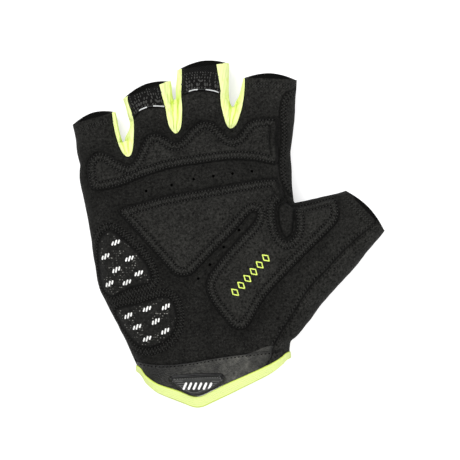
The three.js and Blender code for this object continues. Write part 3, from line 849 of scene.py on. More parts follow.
PRINT_WHITE = plain("print_white", (0.90, 0.90, 0.88), 0.6, 0.2)
PRINT_LIME = plain("print_lime", (0.74, 0.90, 0.16), 0.6, 0.2)
TAB_RUBBER = plain("tab_rubber", (0.017, 0.018, 0.016), 0.5, 0.35, 0.00012)
TAB_EDGE_RUBBER = plain("tab_edge_rubber", (0.005, 0.005, 0.005), 0.4, 0.3)
TAB_RIB_RUBBER = plain("tab_rib_rubber", (0.16, 0.16, 0.155), 0.5, 0.35)
THREAD_GREY = plain("thread_grey", (0.044, 0.044, 0.041), 0.8, 0.1)
THREAD_DARK = plain("thread_dark", (0.034, 0.034, 0.032), 0.8, 0.1)
ELASTIC_GREY = plain("elastic_grey", (0.052, 0.052, 0.049), 0.8, 0.1)
# Painted shade: the needle holes are dark flat beads on the surface, standing for the shade inside each hole.
NEEDLE_HOLE_SHADE = plain("needle_hole_shade", (0.003, 0.003, 0.003), 0.9, 0.02)
PIPING_BLACK = plain("piping_black", (0.006, 0.006, 0.006), 0.3, 0.4)
PIPING_PALE_DASH = plain("piping_pale_dash", (0.62, 0.63, 0.63), 0.35, 0.5)

# %% [markdown]
# ## Panels
#
# On the real glove each panel is cut from flat cloth and sewn to its neighbours. Here the
# shell is already curved, so each panel is cut out of it with an upright cutter over the
# panel's outline, and a thin seam is left round it.

# %% Cut the shell into panels
HIGH = 60.0
LOW = -5.0


def carve(shares, bottom, name):
    line = curve_through(shares)
    piece = cut(twin(shell, name), prism(line, bottom, HIGH), "INTERSECT")
    cut(shell, prism(moved_outline(line, SEAM_GAP), bottom - SEAM_GAP, HIGH + 1), "DIFFERENCE")
    return keep_largest(piece)


gussets = [carve(line, GUSSET_LOW, name) for name, line in GUSSETS.items()]
index_side = carve(INDEX_SIDE, GUSSET_LOW, "index_side")
thumb_side = carve(THUMB_SIDE, GUSSET_LOW, "thumb_side")
cuff = carve(CUFF, SEAM_HEIGHT, "cuff")
ring_band = carve(RING_BAND, SEAM_HEIGHT, "ring_band")
middle_band = carve(MIDDLE_BAND, SEAM_HEIGHT, "middle_band")
everywhere = [Vector((-110, -110)), Vector((110, -110)), Vector((110, 110)), Vector((-110, 110))]
palm = cut(twin(shell, "palm"), prism(everywhere, SEAM_HEIGHT + SEAM_GAP / 2, HIGH), "INTERSECT")
back = keep_largest(cut(shell, prism(everywhere, LOW, SEAM_HEIGHT - SEAM_GAP / 2), "INTERSECT"))

# %% [markdown]
# The small air holes are punched through the palm where it lies bare between the pads.

# %% Air holes and the dark panels
HOLE_RADIUS = 0.65
bm = bmesh.new()
for share in HOLES:
    spot = place(*share)
    bmesh.ops.create_cone(
        bm,
        cap_ends=True,
        segments=20,
        radius1=HOLE_RADIUS,
        radius2=HOLE_RADIUS,
        depth=40,
        matrix=Matrix.Translation((spot.x, spot.y, 32)),
    )
palm = cut(palm, bench(bm, "punch"), "DIFFERENCE")


def darken_seams(obj, trees, reach):
    """Keeps on the mesh, as the tone attribute, how much painted shade each point gets: by seams and pad edges, beside
    the palm pads and inside the hollow.
    """
    painted_shades = []
    for vert in obj.data.vertices:
        away = min(tree.find((vert.co.x, vert.co.y, 0))[2] for tree in trees)
        # Painted shade: a narrow dark line along each seam and pad edge, on the upper side of the glove.
        near = math.exp(-((away / reach) ** 2)) if vert.co.z > SEAM_HEIGHT - 2 else 0.0
        # Painted shadow: the bare palm goes darker for about five millimetres beside the pads.
        if obj is palm:
            near = max(near, 0.42 * math.exp(-((pad_tree.find((vert.co.x, vert.co.y, 0))[2] / 5) ** 2)))
        # Painted shade: the upward-facing inside of the back, seen through the openings, gets the full darkening.
        inside = 1.0 if obj is back and vert.normal.z > 0.2 and vert.co.z < 6 else 0.0
        painted_shades.append(max(near, inside))
    obj.data.attributes.new("tone", "FLOAT", "POINT").data.foreach_set("value", painted_shades)


for piece in (palm, back, index_side, thumb_side, cuff, ring_band, middle_band):
    darken_seams(piece, (seam_tree, pad_tree), 0.5)
finish_piece(palm, "palm_suede_panel", PALM_SUEDE, ["palm_panel"])
finish_piece(back, "back_knit_panel", BACK_KNIT, ["back_panel"])
finish_piece(index_side, "index_side_knit", INDEX_KNIT, ["index_side_panel"])
finish_piece(thumb_side, "thumb_side_knit", THUMB_KNIT, ["thumb_side_panel"])
finish_piece(cuff, "cuff_leather_panel", CUFF_LEATHER, ["cuff_panel"])
finish_piece(ring_band, "ring_finger_band", BAND_KNIT, ["finger_band_ring"])
finish_piece(middle_band, "middle_finger_band", BAND_KNIT, ["finger_band_middle"])

# %% [markdown]
# ## Lime gussets
#
# The gussets are strips of stretch cloth that fold where two fingers meet. The folds run
# down to the point of each strip. Their depth is also kept on the mesh as an attribute, together with
# the side walls, and the finish paints shade from it: a deeper lime in the folds and down the sides.

# %% Fold the gussets
FOLD_DEPTH = 0.6
CROTCHES = {
    "gusset_little_ring": ((0.168, 0.769), (0.178, 0.724)),
    "gusset_ring_middle": ((0.328, 0.888), (0.330, 0.792)),
    "gusset_middle_index": ((0.517, 0.876), (0.505, 0.806)),
}
for gusset, key in zip(gussets, GUSSETS):
    crotch, point = (place(*share) for share in CROTCHES[key])
    run = point - crotch
    length = run.length
    run.normalize()
    side = Vector((-run.y, run.x))
    lime_shades, crossings = [], []
    for vert in gusset.data.vertices:
        spot = Vector((vert.co.x, vert.co.y)) - crotch
        along = spot.dot(run) / length
        across = spot.dot(side)
        width = 3.6 * (1.15 - min(max(along, 0), 1)) + 0.4
        inside = max(0.0, 1 - abs(across) / (width * 1.7))
        ends = min(1, max(0, along + 0.25) * 3) * min(1, max(0, 1.12 - along) * 4)
        wander = 1.9 * noise.noise(Vector((spot.x / 2.6, spot.y / 4.5, 5)))
        ripple = (0.5 - 0.5 * math.cos(2 * math.pi * across / (width * 0.8) + wander)) ** 3
        crease = max(0.0, noise.noise(Vector((vert.co.x / 1.1, vert.co.y / 2.8, 2))) - 0.12) * 1.6
        fold_and_shade = max(inside * ends * ripple, min(1, crease) * 0.45)
        # Painted shade: side walls that turn away from the top get a deeper lime, stored together with the folds.
        wall_shade = min(1, max(0, (0.42 - vert.normal.z) / 0.34)) * min(1, max(0, 0.4 + along))
        lime_shades.append(min(1, 0.55 * fold_and_shade + 0.75 * wall_shade))
        crossings.append(across / 9)
        if vert.co.z > 8:
            vert.co.z -= FOLD_DEPTH * fold_and_shade
    for stored, values in (("fold_and_shade", lime_shades), ("across", crossings)):
        gusset.data.attributes.new(stored, "FLOAT", "POINT").data.foreach_set("value", values)
    finish_piece(gusset, key + "_cloth", GUSSET_LIME, [key])

# %% [markdown]
# ## Pads
#
# Each pad is suede over foam, sewn down with two rows of stitching. A pad starts as a flat
# slab over its outline, is remeshed into even small faces, and is then draped: every point
# is set on the hand form, and its height comes from how far it is from the outline. The
# edge is thin, the two stitch rows are channels, and the middle swells.

# %% Helpers: pads
SLAB = 2.4
PAD_ROWS = (0.85, 3.65)


def slab(line, thickness, voxel, name):
    return remeshed(prism(line, 0, thickness, name), voxel, 2)


def curve_dense(line, step=0.25):
    dense = []
    for a, b in zip(line, line[1:] + line[:1]):
        parts = max(1, round((b - a).length / step))
        dense += [a.lerp(b, k / parts) for k in range(parts)]
    return dense


def groove(away, row, width):
    return math.exp(-(((away - row) / width) ** 2))


def drape(obj, line, thickness, profile, lift=0.06, rows=()):
    """Lays a slab on the hand form. profile gives its height at a distance from its edge. It also keeps painted shade
    on the mesh, as the tone attribute, along the edge and the stitch rows.
    """
    tree = tree_of(curve_dense(line))
    painted_shades = []
    for vert in obj.data.vertices:
        x, y, z = vert.co
        away = tree.find((x, y, 0))[2]
        share = min(max(z / thickness, 0), 1)
        vert.co.z = skin_height(x, y) + lift + share * profile(away, x, y)
        # Painted shade: the band between two stitch rows is a little darker, and the edge and the rows are darker
        # still.
        sewn = 0.22 if len(rows) == 2 and rows[0] < away < rows[1] else 0
        painted_shades.append(min(1, sewn + groove(away, 0, 0.5) + 0.8 * max([groove(away, row, 0.5) for row in rows] or [0])))
    obj.data.attributes.new("tone", "FLOAT", "POINT").data.foreach_set("value", painted_shades)
    obj.data.update()
    return obj


def foam_profile(edge, cushion, rows=PAD_ROWS, swell=2.0, ripple=0.12, pillow=None):
    """A rolled edge, a low sewn band between the stitch rows, then the swell of the foam."""
    inner = rows[-1]
    rise = cushion - edge + 0.22

    def height(away, x, y):
        rolled = edge * min(1, (away / 0.5 + 0.15)) ** 0.5
        sewn = 0.22 * min(1, max(0, away - rows[0] + 0.3)) if away < inner + 0.5 else 0.22
        if pillow:
            domed = rise * (1 - math.exp(-PILLOW_GAIN * pillow_height(pillow, x, y) / rise))
        else:
            domed = rise * (1 - math.exp(-max(0, away - inner) / swell))
        dips = sum(groove(away, row, 0.38) for row in rows) * 0.36
        soft = ripple * noise.noise(Vector((x, y, 0)) / 3.0)
        return max(0.12, rolled - sewn + domed - dips + soft)

    return height


# %% [markdown]
# How far the cover swells over the foam comes from a cloth simulation. A thin hollow pillow
# with the pad's outline is blown up by a little pressure, while its sewn band is pinned. It
# is simulated at ten times its size, where the cloth settings behave as they do on cushions.
# Its height is then capped and used when the pad is draped.

# %% Swell of the padded pieces
PILLOW_SCALE = 0.01
PILLOW_HALF = 0.6
PILLOW_GAIN = 4
PADDED = {
    "knuckle_foam_pad": (KNUCKLE_PAD, PAD_ROWS[1]),
    "palm_thumb_foam_pad": (PALM_PAD, PAD_ROWS[1]),
    "upper_heel_window": (UPPER_HEEL_PAD, 0.5),
    "lower_heel_window": (LOWER_HEEL_PAD, 0.5),
}


def sewn_pillow(shares, sewn_width, name):
    line = curve_through(shares)
    pillow = remeshed(prism(line, -PILLOW_HALF, PILLOW_HALF, name), 1.2, 2)
    tree = tree_of(curve_dense(line))
    sewn = pillow.vertex_groups.new(name="sewn")
    edge = [v.index for v in pillow.data.vertices if tree.find((v.co.x, v.co.y, 0))[2] < sewn_width + 0.4]
    sewn.add(edge, 1.0, "REPLACE")
    pillow.data.transform(Matrix.Scale(PILLOW_SCALE, 4))
    cloth = pillow.modifiers.new("cloth", "CLOTH")
    cloth.settings.quality = 4
    cloth.settings.use_pressure = True
    cloth.settings.uniform_pressure_force = 45
    cloth.settings.vertex_group_mass = "sewn"
    cloth.settings.effector_weights.gravity = 0
    cloth.collision_settings.use_collision = False
    return pillow


def swollen_trees():
    """Runs the simulation of all four pillows and keeps a tree of each swollen skin."""
    pillows = {name: sewn_pillow(*values, name) for name, values in PADDED.items()}
    scene = bpy.context.scene
    for step in range(1, 21):
        scene.frame_set(step)
    graph = bpy.context.evaluated_depsgraph_get()
    trees = {}
    for name, pillow in pillows.items():
        swollen = bmesh.new()
        swollen.from_mesh(pillow.evaluated_get(graph).to_mesh())
        bmesh.ops.scale(swollen, vec=(1 / PILLOW_SCALE,) * 3, verts=swollen.verts[:])
        trees[name] = BVHTree.FromBMesh(swollen)
        print(name, "swells to", round(max(v.co.z for v in swollen.verts) - PILLOW_HALF, 2), "mm before its cap")
        swollen.free()
        bin_bench(pillow)
    scene.frame_set(1)
    return trees


def pillow_height(tree, x, y):
    hit = tree.ray_cast(Vector((x, y, 90)), Vector((0, 0, -1)))[0]
    return max(0, hit.z - PILLOW_HALF) if hit else 0


PILLOWS = swollen_trees()

# %% Knuckle pad and palm pad
pads = []
for name, shares, replaced in (
    ("knuckle_foam_pad", KNUCKLE_PAD, "knuckle_pad"),
    ("palm_thumb_foam_pad", PALM_PAD, "palm_thumb_pad"),
):
    line = curve_through(shares)
    profile = foam_profile(1.0, 2.5, pillow=PILLOWS.get(name))
    pad = drape(slab(line, SLAB, PAD_VOXEL, name), line, SLAB, profile, rows=PAD_ROWS)
    finish_piece(pad, name, PAD_SUEDE, [replaced], sharp=70)
    pads.append(pad)

# %% Heel pads and the tongue at the thumb
for name, shares, replaced in (
    ("upper_heel_window", UPPER_HEEL_PAD, "upper_heel_pad"),
    ("lower_heel_window", LOWER_HEEL_PAD, "lower_heel_pad"),
):
    line = curve_through(shares)
    profile = foam_profile(0.7, 1.9, rows=(0.5,), swell=2.6, pillow=PILLOWS.get(name))
    pad = drape(slab(line, SLAB, PAD_VOXEL, name), line, SLAB, profile, rows=(0.3,))
    finish_piece(pad, name, WINDOW_CLOTH, [replaced], sharp=70)
    pads.append(pad)
line = curve_through(CROTCH_PATCH)
tongue = drape(slab(line, SLAB, PAD_VOXEL, "tongue"), line, SLAB, foam_profile(0.75, 0.9, rows=(0.4,)), rows=(0.2,))
finish_piece(tongue, "thumb_crotch_tongue", PALM_SUEDE, ["thumb_crotch_patch"], sharp=70)

# %% [markdown]
# ## Stitches
#
# Two needles sew the pads down together. They leave two rows of needle holes, and the
# thread crosses slantwise between them. One low-poly bead, stretched and turned, is
# copied for every length of thread and every hole, and set on the surface below it.

# %% Helpers: stitches
bm = bmesh.new()
bmesh.ops.create_uvsphere(bm, u_segments=6, v_segments=5, radius=0.5)
BEAD = bpy.data.meshes.new("bead")
bm.to_mesh(BEAD)
bm.free()


def surface_tree(objects):
    """A tree of finished surfaces, in millimetres."""
    bm = bmesh.new()
    for obj in objects:
        bm.from_mesh(obj.data)
    bmesh.ops.scale(bm, vec=(1 / MM, 1 / MM, 1 / MM), verts=bm.verts[:])
    tree = BVHTree.FromBMesh(bm)
    bm.free()
    return tree


def along_line(line, pitch, closed, phase=0.0):
    """Places and directions at an even pitch along a line."""
    ends = line + line[:1] if closed else line
    marks, carried = [], phase * pitch
    for a, b in zip(ends, ends[1:]):
        length = (b - a).length
        if length < 1e-6:
            continue
        run = (b - a) / length
        while carried < length:
            marks.append((a + run * carried, run))
            carried += pitch
        carried -= length
    return marks


def add_bead(bm, tree, spot, run, size, slant=0.0, rise=0.1):
    """Sets one bead on the surface below a place, lying along run turned by slant."""
    hit, normal, _, _ = tree.ray_cast(Vector((spot.x, spot.y, 80)), Vector((0, 0, -1)))
    if hit is None or normal.z < 0.3:
        return
    forward = Vector((run.x, run.y, 0))
    forward.rotate(Matrix.Rotation(slant, 3, "Z"))
    forward = (forward - normal * forward.dot(normal)).normalized()
    turn = Matrix((forward, normal.cross(forward), normal)).transposed().to_4x4()
    place_bead = Matrix.Translation(hit + normal * rise) @ turn @ Matrix.Diagonal((*size, 1))
    BEAD.transform(place_bead)
    bm.from_mesh(BEAD)
    BEAD.transform(place_bead.inverted())


def add_sewn_band(threads, holes, tree, line, near, far, pitch=1.45, closed=True, bare=None):
    """Two rows of holes at two distances from a line, and a thread that zigzags between them."""
    inward = moved_outline if closed else side_line

    def marks(row, phase):
        found = along_line(inward(line, -row), pitch, closed, phase)
        return [(spot, run) for spot, run in found if not (bare and bare(spot, run))]

    for row in (near, far):
        # Painted shade: a dark bead for each needle hole.
        for spot, run in marks(row, 0):
            add_bead(holes, tree, spot, run, (0.95, 0.68, 0.22), 0.5, 0.03)
        for spot, run in marks(row, 0.5):
            add_bead(threads, tree, spot, run, (0.80, 0.36, 0.30), 0.3, 0.08)
    for count, (spot, run) in enumerate(marks((near + far) / 2, 0.5)):
        loose = 0.5 * noise.noise(Vector((spot.x, spot.y, 4)) * 0.9)
        lean = (1.08 if count % 2 else -1.08) + loose
        add_bead(threads, tree, spot, run, (abs(far - near) * 0.74, 0.31, 0.30), lean, 0.08)


def side_line(line, distance):
    """An open line moved sideways: to its left where distance is negative."""
    moved = []
    for i, point in enumerate(line):
        run = (line[min(i + 1, len(line) - 1)] - line[max(i - 1, 0)]).normalized()
        moved.append(point + Vector((run.y, -run.x)) * distance)
    return moved


# %% Sewn bands round the pads
cloth_tree = surface_tree([palm, index_side, thumb_side, cuff, ring_band, middle_band, *pads, tongue])
threads, holes = bmesh.new(), bmesh.new()
index_seam = curve_through(INDEX_SIDE[1:12], closed=False)
index_tree = tree_of(index_seam)


def caught_in_seam(spot, run):
    """The end of a pad that is held by the side seam has no stitches of its own."""
    return abs(run.y) > 0.75 and index_tree.find((spot.x, spot.y, 0))[2] < 5.5


for shares in (KNUCKLE_PAD, PALM_PAD):
    add_sewn_band(threads, holes, cloth_tree, curve_through(shares), *PAD_ROWS, bare=caught_in_seam)
finish_piece(bench(threads, "threads"), "pad_threads", THREAD_GREY)
finish_piece(bench(holes, "holes"), "pad_needle_holes", NEEDLE_HOLE_SHADE)

# %% Sewn bands round the heel windows and along the side panels
threads, holes = bmesh.new(), bmesh.new()
for shares in (UPPER_HEEL_PAD, LOWER_HEEL_PAD):
    add_sewn_band(threads, holes, cloth_tree, curve_through(shares), -0.9, -3.4)
add_sewn_band(threads, holes, cloth_tree, index_seam, 0.9, 2.7, pitch=1.6, closed=False)
thumb_seam = curve_through(THUMB_SIDE[1:9], closed=False)
for row in (-0.9, 1.2):
    # Painted shade: a dark bead for each needle hole.
    for spot, run in along_line(side_line(thumb_seam, row), 1.6, False):
        add_bead(holes, cloth_tree, spot, run, (0.9, 0.5, 0.2), 0.5, 0.02)
for spot, run in along_line(side_line(thumb_seam, 1.2), 1.6, False, 0.5):
    add_bead(threads, cloth_tree, spot, run, (1.1, 0.4, 0.3), 0.9, 0.08)
finish_piece(bench(threads, "threads"), "seam_threads", THREAD_DARK)
finish_piece(bench(holes, "holes"), "seam_needle_holes", NEEDLE_HOLE_SHADE)

# %% [markdown]
# The hem of each finger opening is turned in and sewn about two and a half millimetres
# below the rim. The cuff seam has one row of larger holes in the leather.

# %% Hem rows and the cuff seam
threads, holes = bmesh.new(), bmesh.new()
for rows in (LITTLE_ROWS, INDEX_ROWS, THUMB_ROWS):
    left, right = place(*rows[-1][:2]), place(*rows[-1][2:4])
    side = (right - left).normalized()
    along = Vector((-side.y, side.x))
    for below in (2.0, 3.3):
        hem = [left.lerp(right, 0.07 + 0.86 * k / 20) - along * below for k in range(21)]
        for spot, run in along_line(hem, 1.3, False):
            add_bead(threads, cloth_tree, spot, run, (0.85, 0.34, 0.26), 0.5, 0.04)
        # Painted shade: a dark bead for each needle hole.
        for spot, run in along_line(hem, 1.3, False, 0.5):
            add_bead(holes, cloth_tree, spot, run, (0.5, 0.4, 0.16), 0.0, 0.01)
cuff_seam = [p - Vector((0, 0.8)) for p in curve_through(CUFF[0:8], closed=False)]
# Painted shade: a dark bead for each hole of the cuff seam.
for spot, run in along_line(cuff_seam, 1.75, False):
    add_bead(holes, cloth_tree, spot, run, (1.05, 0.55, 0.24), 0.3, 0.02)
finish_piece(bench(threads, "threads"), "hem_threads", THREAD_DARK)
finish_piece(bench(holes, "holes"), "hem_needle_holes", NEEDLE_HOLE_SHADE)

# %% [markdown]
# The bands below the ring and middle finger rims are coarse elastic. Its loops are short
# upright beads in staggered rows, larger near the seam, none quite like its neighbour.

# %% Elastic loops on the finger bands
LOOP_ROWS = [
    (1.4, 1.50, 0.84), (3.0, 1.85, 1.00), (4.7, 1.60, 0.88), (6.2, 1.15, 0.66), (7.4, 1.00, 0.58), (8.5, 0.90, 0.52),
]
bm = bmesh.new()
for seam in (RING_BAND[2:6], MIDDLE_BAND[2:7]):
    base = curve_through(seam, closed=False, step=0.4)
    for row, (above, tall, wide) in enumerate(LOOP_ROWS):
        for spot, run in along_line(side_line(base, -above), 1.2, False, 0.5 * (row % 2)):
            chance = noise.noise(Vector((spot.x, spot.y, row)) * 1.7)
            other = noise.noise(Vector((spot.y, spot.x, row + 9)) * 1.3)
            if other > 0.22:
                continue
            size = (tall * (1 + 0.6 * chance), wide * (1 + 0.7 * other), 0.46)
            add_bead(bm, cloth_tree, spot + run * 0.5 * other, run, size, 1.5 + 1.6 * chance, 0.05)
finish_piece(bench(bm, "loops"), "finger_band_loops", ELASTIC_GREY)

# %% [markdown]
# ## Printed marks
#
# The two heel windows carry small white prints, and the thumb pad a row of lime ones. Here
# they are plain generic shapes: groups of slanted bars, and a row of open diamonds. Each
# is a thin slab that follows the pad below it.

# %% Helpers: marks


def add_flat_shape(bm, tree, outline, thickness=0.12, lift=0.02):
    """A thin slab over a small outline, resting on the surface below."""
    known = len(bm.faces)
    verts = bmesh.ops.create_circle(bm, cap_ends=True, segments=len(outline), radius=1)["verts"]
    for vert, point in zip(verts, outline):
        vert.co = (point.x, point.y, 0)
    bm.faces.ensure_lookup_table()
    made = bmesh.ops.extrude_face_region(bm, geom=bm.faces[known:])["geom"]
    raised = [v for v in made if isinstance(v, bmesh.types.BMVert)]
    for group, extra in ((verts, 0.0), (raised, thickness)):
        for vert in group:
            hit = tree.ray_cast(Vector((vert.co.x, vert.co.y, 80)), Vector((0, 0, -1)))[0]
            vert.co.z = (hit.z if hit else SEAM_HEIGHT) + lift + extra


def dash(centre, angle, length, width):
    """A slanted dash with rounded ends."""
    run = Vector((math.cos(angle), math.sin(angle)))
    side = Vector((-run.y, run.x))
    points = []
    for end in (1, -1):
        for k in range(5):
            bend = math.pi * (k / 4 - 0.5)
            points.append(
                centre + run * end * (length / 2 - width / 2 + width / 2 * math.cos(bend)) + side * end * width / 2 * math.sin(bend)
            )
    return points


# %% White bars on the heel windows
BAR_SPOTS = [
    (0.140, 0.474), (0.107, 0.434), (0.184, 0.428), (0.142, 0.396), (0.214, 0.386), (0.120, 0.356),
    (0.176, 0.360), (0.180, 0.264), (0.240, 0.284), (0.300, 0.290), (0.208, 0.232), (0.268, 0.248),
    (0.240, 0.198), (0.298, 0.220),
]
bm = bmesh.new()
for i, share in enumerate(BAR_SPOTS):
    slope = math.radians(24 if i % 2 else 17)
    run = Vector((math.cos(slope), math.sin(slope)))
    for step, length in ((-1, 2.0), (0, 2.7), (1, 2.0)):
        bar = dash(place(*share) + run * step * 1.45, slope + 0.95, length, 0.75)
        add_flat_shape(bm, cloth_tree, bar, 0.14, 0.10)
finish_piece(bench(bm, "bars"), "heel_window_marks", PRINT_WHITE)

# %% Lime diamonds on the thumb pad
MARK_START = place(0.520, 0.332)
MARK_END = place(0.618, 0.430)
bm = bmesh.new()
run = (MARK_END - MARK_START).normalized()
side = Vector((-run.y, run.x))
for k in range(6):
    centre = MARK_START.lerp(MARK_END, k / 5)
    half_run, half_side = 1.35, 2.1
    corners = [centre + run * half_run, centre + side * half_side, centre - run * half_run, centre - side * half_side]
    for a, b in zip(corners, corners[1:] + corners[:1]):
        middle = (a + b) / 2
        add_flat_shape(bm, cloth_tree, dash(middle, math.atan2((b - a).y, (b - a).x), (b - a).length + 0.45, 0.5))
finish_piece(bench(bm, "diamonds"), "thumb_pad_marks", PRINT_LIME)

# %% [markdown]
# ## Piping
#
# A thin glossy cord is sewn in below each finger band, with two pale grey dashes on it. It is
# a round section swept along the seam, with the pale grey given to the faces of the dashes.

# %% Piping of the ring and middle fingers
PIPING_RADIUS = 0.29
DASHES = ((0.12, 0.385), (0.60, 0.965))
for name, shares, replaced in (
    ("ring_finger_piping", RING_PIPING, "ring_piping"),
    ("middle_finger_piping", MIDDLE_PIPING, "middle_piping"),
):
    line = curve_through(shares, closed=False, step=0.4)
    bm = bmesh.new()
    rings = []
    for i, point in enumerate(line):
        run = line[min(i + 1, len(line) - 1)] - line[max(i - 1, 0)]
        run = Vector((run.x, run.y, 0)).normalized()
        across = Vector((-run.y, run.x, 0))
        centre = Vector((point.x, point.y, skin_height(point.x, point.y) + PIPING_RADIUS * 0.75))
        taper = min(1, 0.45 + min(i, len(line) - 1 - i) * 0.3)
        rings.append([
            centre + (across * math.cos(a) + Vector((0, 0, 1)) * math.sin(a)) * PIPING_RADIUS * taper
            for a in (2 * math.pi * k / 14 for k in range(14))
        ])
    add_loft(bm, rings)
    bm.faces.ensure_lookup_table()
    low, high = line[0].x, line[-1].x
    for face in bm.faces:
        share = (face.calc_center_median().x - low) / (high - low)
        face.material_index = 1 if any(a < share < b for a, b in DASHES) else 0
    finish_piece(bench(bm, name), name, [PIPING_BLACK, PIPING_PALE_DASH], [replaced])

# %% [markdown]
# ## Bound hem
#
# The binding is an elastic strip folded over the edge of the cuff. Its section is a flat
# loop, a little thicker than the wall, and it runs round the wrist, dipping to a point on
# the palm side. The loops are joined one after another and close on themselves.

# %% Cuff binding
BINDING_BACK = 4.4
BINDING_SIDE = 3.0
BINDING_STEPS = 14
BINDING_POINTS = 260


def binding_rings(count=BINDING_POINTS):
    row = BODY_ROWS[0]

    def band(x, z):
        if z > 0:
            return hem_value(x, 2)
        return BINDING_SIDE + (BINDING_BACK - BINDING_SIDE) * abs(z)

    rings = []
    for outward in (True, False):
        for k in range(BINDING_STEPS + 1):
            share = k / BINDING_STEPS if outward else 1 - k / BINDING_STEPS
            puff = 0.45 * math.sqrt(max(0, 1 - (2 * share - 1) ** 4))
            grow = puff + 0.05 if outward else -WALL - 0.1 - 0.3 * puff

            def slide(x, z, share=share):
                return hem_slide(x, z) - 0.15 - band(x, z) * share

            rings.append(
                section(row, PALM_THICKNESS, SEAM_HEIGHT, count, grow, slide, floor=max(0.0, -grow))
            )
    return rings


bm = bmesh.new()
add_loft(bm, binding_rings(), closed=True)
binding = bench(bm, "binding")
strips = BINDING_STEPS + 1
outward = [k / BINDING_STEPS for k in range(strips)]
crossings = [share for share in outward + outward[::-1] for _ in range(BINDING_POINTS)]
lime_shades = []
for vert, across in zip(binding.data.vertices, crossings):
    # Painted shade: the binding turns a deeper lime lower down towards the floor and along its two edges.
    low = min(1, max(0, (13 - vert.co.z) / 9))
    lime_shades.append(min(1, 0.6 * low + 0.5 * max(0, 0.14 - min(across, 1 - across)) / 0.14))
for stored, values in (("fold_and_shade", lime_shades), ("across", crossings)):
    binding.data.attributes.new(stored, "FLOAT", "POINT").data.foreach_set("value", values)
finish_piece(binding, "cuff_lime_binding", BINDING_LIME, ["cuff_binding"], sharp=75)

# %% [markdown]
# ## Pull tab
#
# The tab is moulded rubber: a flat badge with a raised border, a row of small beads along
# its upper edge, fine ribs at its sides and plain white slanted bars in its middle.

# %% Pull tab
TAB_SLAB = 1.8
TAB_TOP = [(0.311, 0.076), (0.318, 0.085), (0.328, 0.090), (0.398, 0.0945), (0.470, 0.0955), (0.480, 0.090), (0.487, 0.080)]
line = curve_through(PULL_TAB, step=0.4)
tab = drape(
    slab(line, TAB_SLAB, 0.35, "tab"),
    line,
    TAB_SLAB,
    lambda away, x, y: 1.15 * min(1, away / 0.4 + 0.2) + 0.3 * groove(away, 0.6, 0.35) - 0.25 * groove(away, 1.3, 0.3),
)
finish_piece(tab, "rubber_pull_tab", TAB_RUBBER, ["pull_tab"], sharp=60)
tab_tree = surface_tree([tab, cuff])

# %% Helpers: a cord laid on a surface


def add_laid_cord(bm, tree, line, radius, rise):
    """A round section along an open line, thinner at its two ends, resting on a surface."""
    rings = []
    for i, point in enumerate(line):
        run = (line[min(i + 1, len(line) - 1)] - line[max(i - 1, 0)]).normalized()
        across = Vector((-run.y, run.x, 0))
        base = tree.ray_cast(Vector((point.x, point.y, 80)), Vector((0, 0, -1)))[0]
        thick = radius * min(1, 0.4 + 0.2 * min(i, len(line) - 1 - i))
        centre = Vector((point.x, point.y, (base.z if base else SEAM_HEIGHT) + rise))
        turns = (2 * math.pi * k / 12 for k in range(12))
        rings.append([centre + (across * math.cos(a) + Vector((0, 0, 1)) * math.sin(a)) * thick for a in turns])
    add_loft(bm, rings)


# %% Raised lip, frame, beads and slanted bars of the tab
lip = curve_through(TAB_TOP, closed=False, step=0.35)
frame_line = moved_outline(line, -0.35)
bm = bmesh.new()
add_laid_cord(bm, tab_tree, lip, 0.66, 0.25)
lip_piece = bench(bm, "lip")
finish_piece(lip_piece, "pull_tab_lip", TAB_EDGE_RUBBER)
bm = bmesh.new()
add_laid_cord(bm, tab_tree, frame_line + frame_line[:2], 0.42, 0.12)
finish_piece(bench(bm, "frame"), "pull_tab_frame", TAB_EDGE_RUBBER)
bm = bmesh.new()
for spot, run in along_line(side_line(lip, 1.35), 1.15, False, 0.5):
    add_bead(bm, tab_tree, spot, run, (0.58, 0.50, 0.5), 0, 0.05)
for k in range(5):
    for start, way in ((0.330, 1), (0.468, -1)):
        left = place(start + way * 0.0075 * k, 0.0765 - 0.0062 * k)
        for spot, run in along_line([left, left + Vector((way * (3.4 - 0.3 * k), 0))], 0.5, False):
            add_bead(bm, tab_tree, spot, run, (0.8, 0.30, 0.3), 0, 0.02)
for spot, run in along_line(side_line(frame_line, 0.95), 0.6, False):
    if spot.y < place(0, 0.066).y:
        add_bead(bm, tab_tree, spot, run, (0.9, 0.26, 0.3), 0, 0.02)
finish_piece(bench(bm, "beads"), "pull_tab_ribs", TAB_RIB_RUBBER)
bm = bmesh.new()
for k in range(6):
    spot = place(0.3605 + 0.0160 * k, 0.0625)
    add_flat_shape(bm, tab_tree, dash(spot, math.radians(66), 3.7, 1.02), thickness=0.2, lift=0.05)
finish_piece(bench(bm, "bars"), "pull_tab_bars", PRINT_WHITE)

# %% [markdown]
# ## Floor, light and camera
#
# The photograph looks straight down on the glove in even, soft light against white. A
# faintly lit white table under two large soft lights gives that with hardly any shadow,
# and a long lens keeps the outline true.

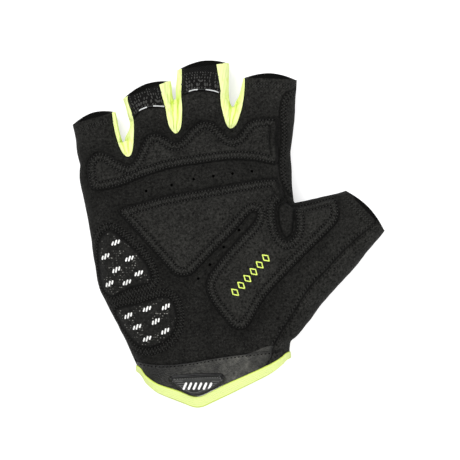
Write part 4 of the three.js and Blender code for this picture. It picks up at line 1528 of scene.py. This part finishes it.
# %% Studio
floor_mesh = bpy.data.meshes.new("floor")
bm = bmesh.new()
bmesh.ops.create_grid(bm, x_segments=2, y_segments=2, size=3)
bm.to_mesh(floor_mesh)
bm.free()
floor = bpy.data.objects.new("floor", floor_mesh)
floor.location.z = -0.0002
bpy.context.scene.collection.objects.link(floor)
pale = bpy.data.materials.new("pale_floor")
pale.use_nodes = True
pale.node_tree.nodes["Principled BSDF"].inputs["Base Color"].default_value = (0.62, 0.62, 0.62, 1)
pale.node_tree.nodes["Principled BSDF"].inputs["Roughness"].default_value = 0.9
pale.node_tree.nodes["Principled BSDF"].inputs["Emission Color"].default_value = (1, 1, 1, 1)
pale.node_tree.nodes["Principled BSDF"].inputs["Emission Strength"].default_value = 0.62
floor.data.materials.append(pale)
floor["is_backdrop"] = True


def soft_light(name, location, target, size, energy):
    light = bpy.data.lights.new(name, "AREA")
    light.shape = "DISK"
    light.size = size
    light.energy = energy
    obj = bpy.data.objects.new(name, light)
    obj.location = location
    obj.rotation_euler = (Vector(target) - Vector(location)).to_track_quat("-Z", "Y").to_euler()
    bpy.context.scene.collection.objects.link(obj)


soft_light("key_light", (-0.5, 0.7, 1.3), (0, 0, 0), 0.8, 17)
soft_light("fill_light", (0.9, -0.4, 1.2), (0, 0, 0), 1.2, 10)
world = bpy.data.worlds.new("studio")
world.use_nodes = True
world.node_tree.nodes["Background"].inputs["Color"].default_value = (1, 1, 1, 1)
world.node_tree.nodes["Background"].inputs["Strength"].default_value = 0.62
bpy.context.scene.world = world
bpy.context.scene.view_settings.view_transform = "Standard"

# %% Camera
PICTURE_WIDTH = 0.460 * 0.460
CAMERA_HEIGHT = 2.4
LOOK_AT = place(0.5, 0.5) + Vector((0.58, 1.61))
camera_data = bpy.data.cameras.new("camera")
camera_data.sensor_width = 36
camera_data.lens = 36 * (CAMERA_HEIGHT - 0.012) / PICTURE_WIDTH
camera = bpy.data.objects.new("camera", camera_data)
camera.location = (LOOK_AT.x * MM, LOOK_AT.y * MM, CAMERA_HEIGHT)
bpy.context.scene.collection.objects.link(camera)
bpy.context.scene.camera = camera

# %% Print the box of what is shown, and finish
low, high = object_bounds()
print("visual box in mm:", [round(1000 * v, 1) for v in (*low, *high)])
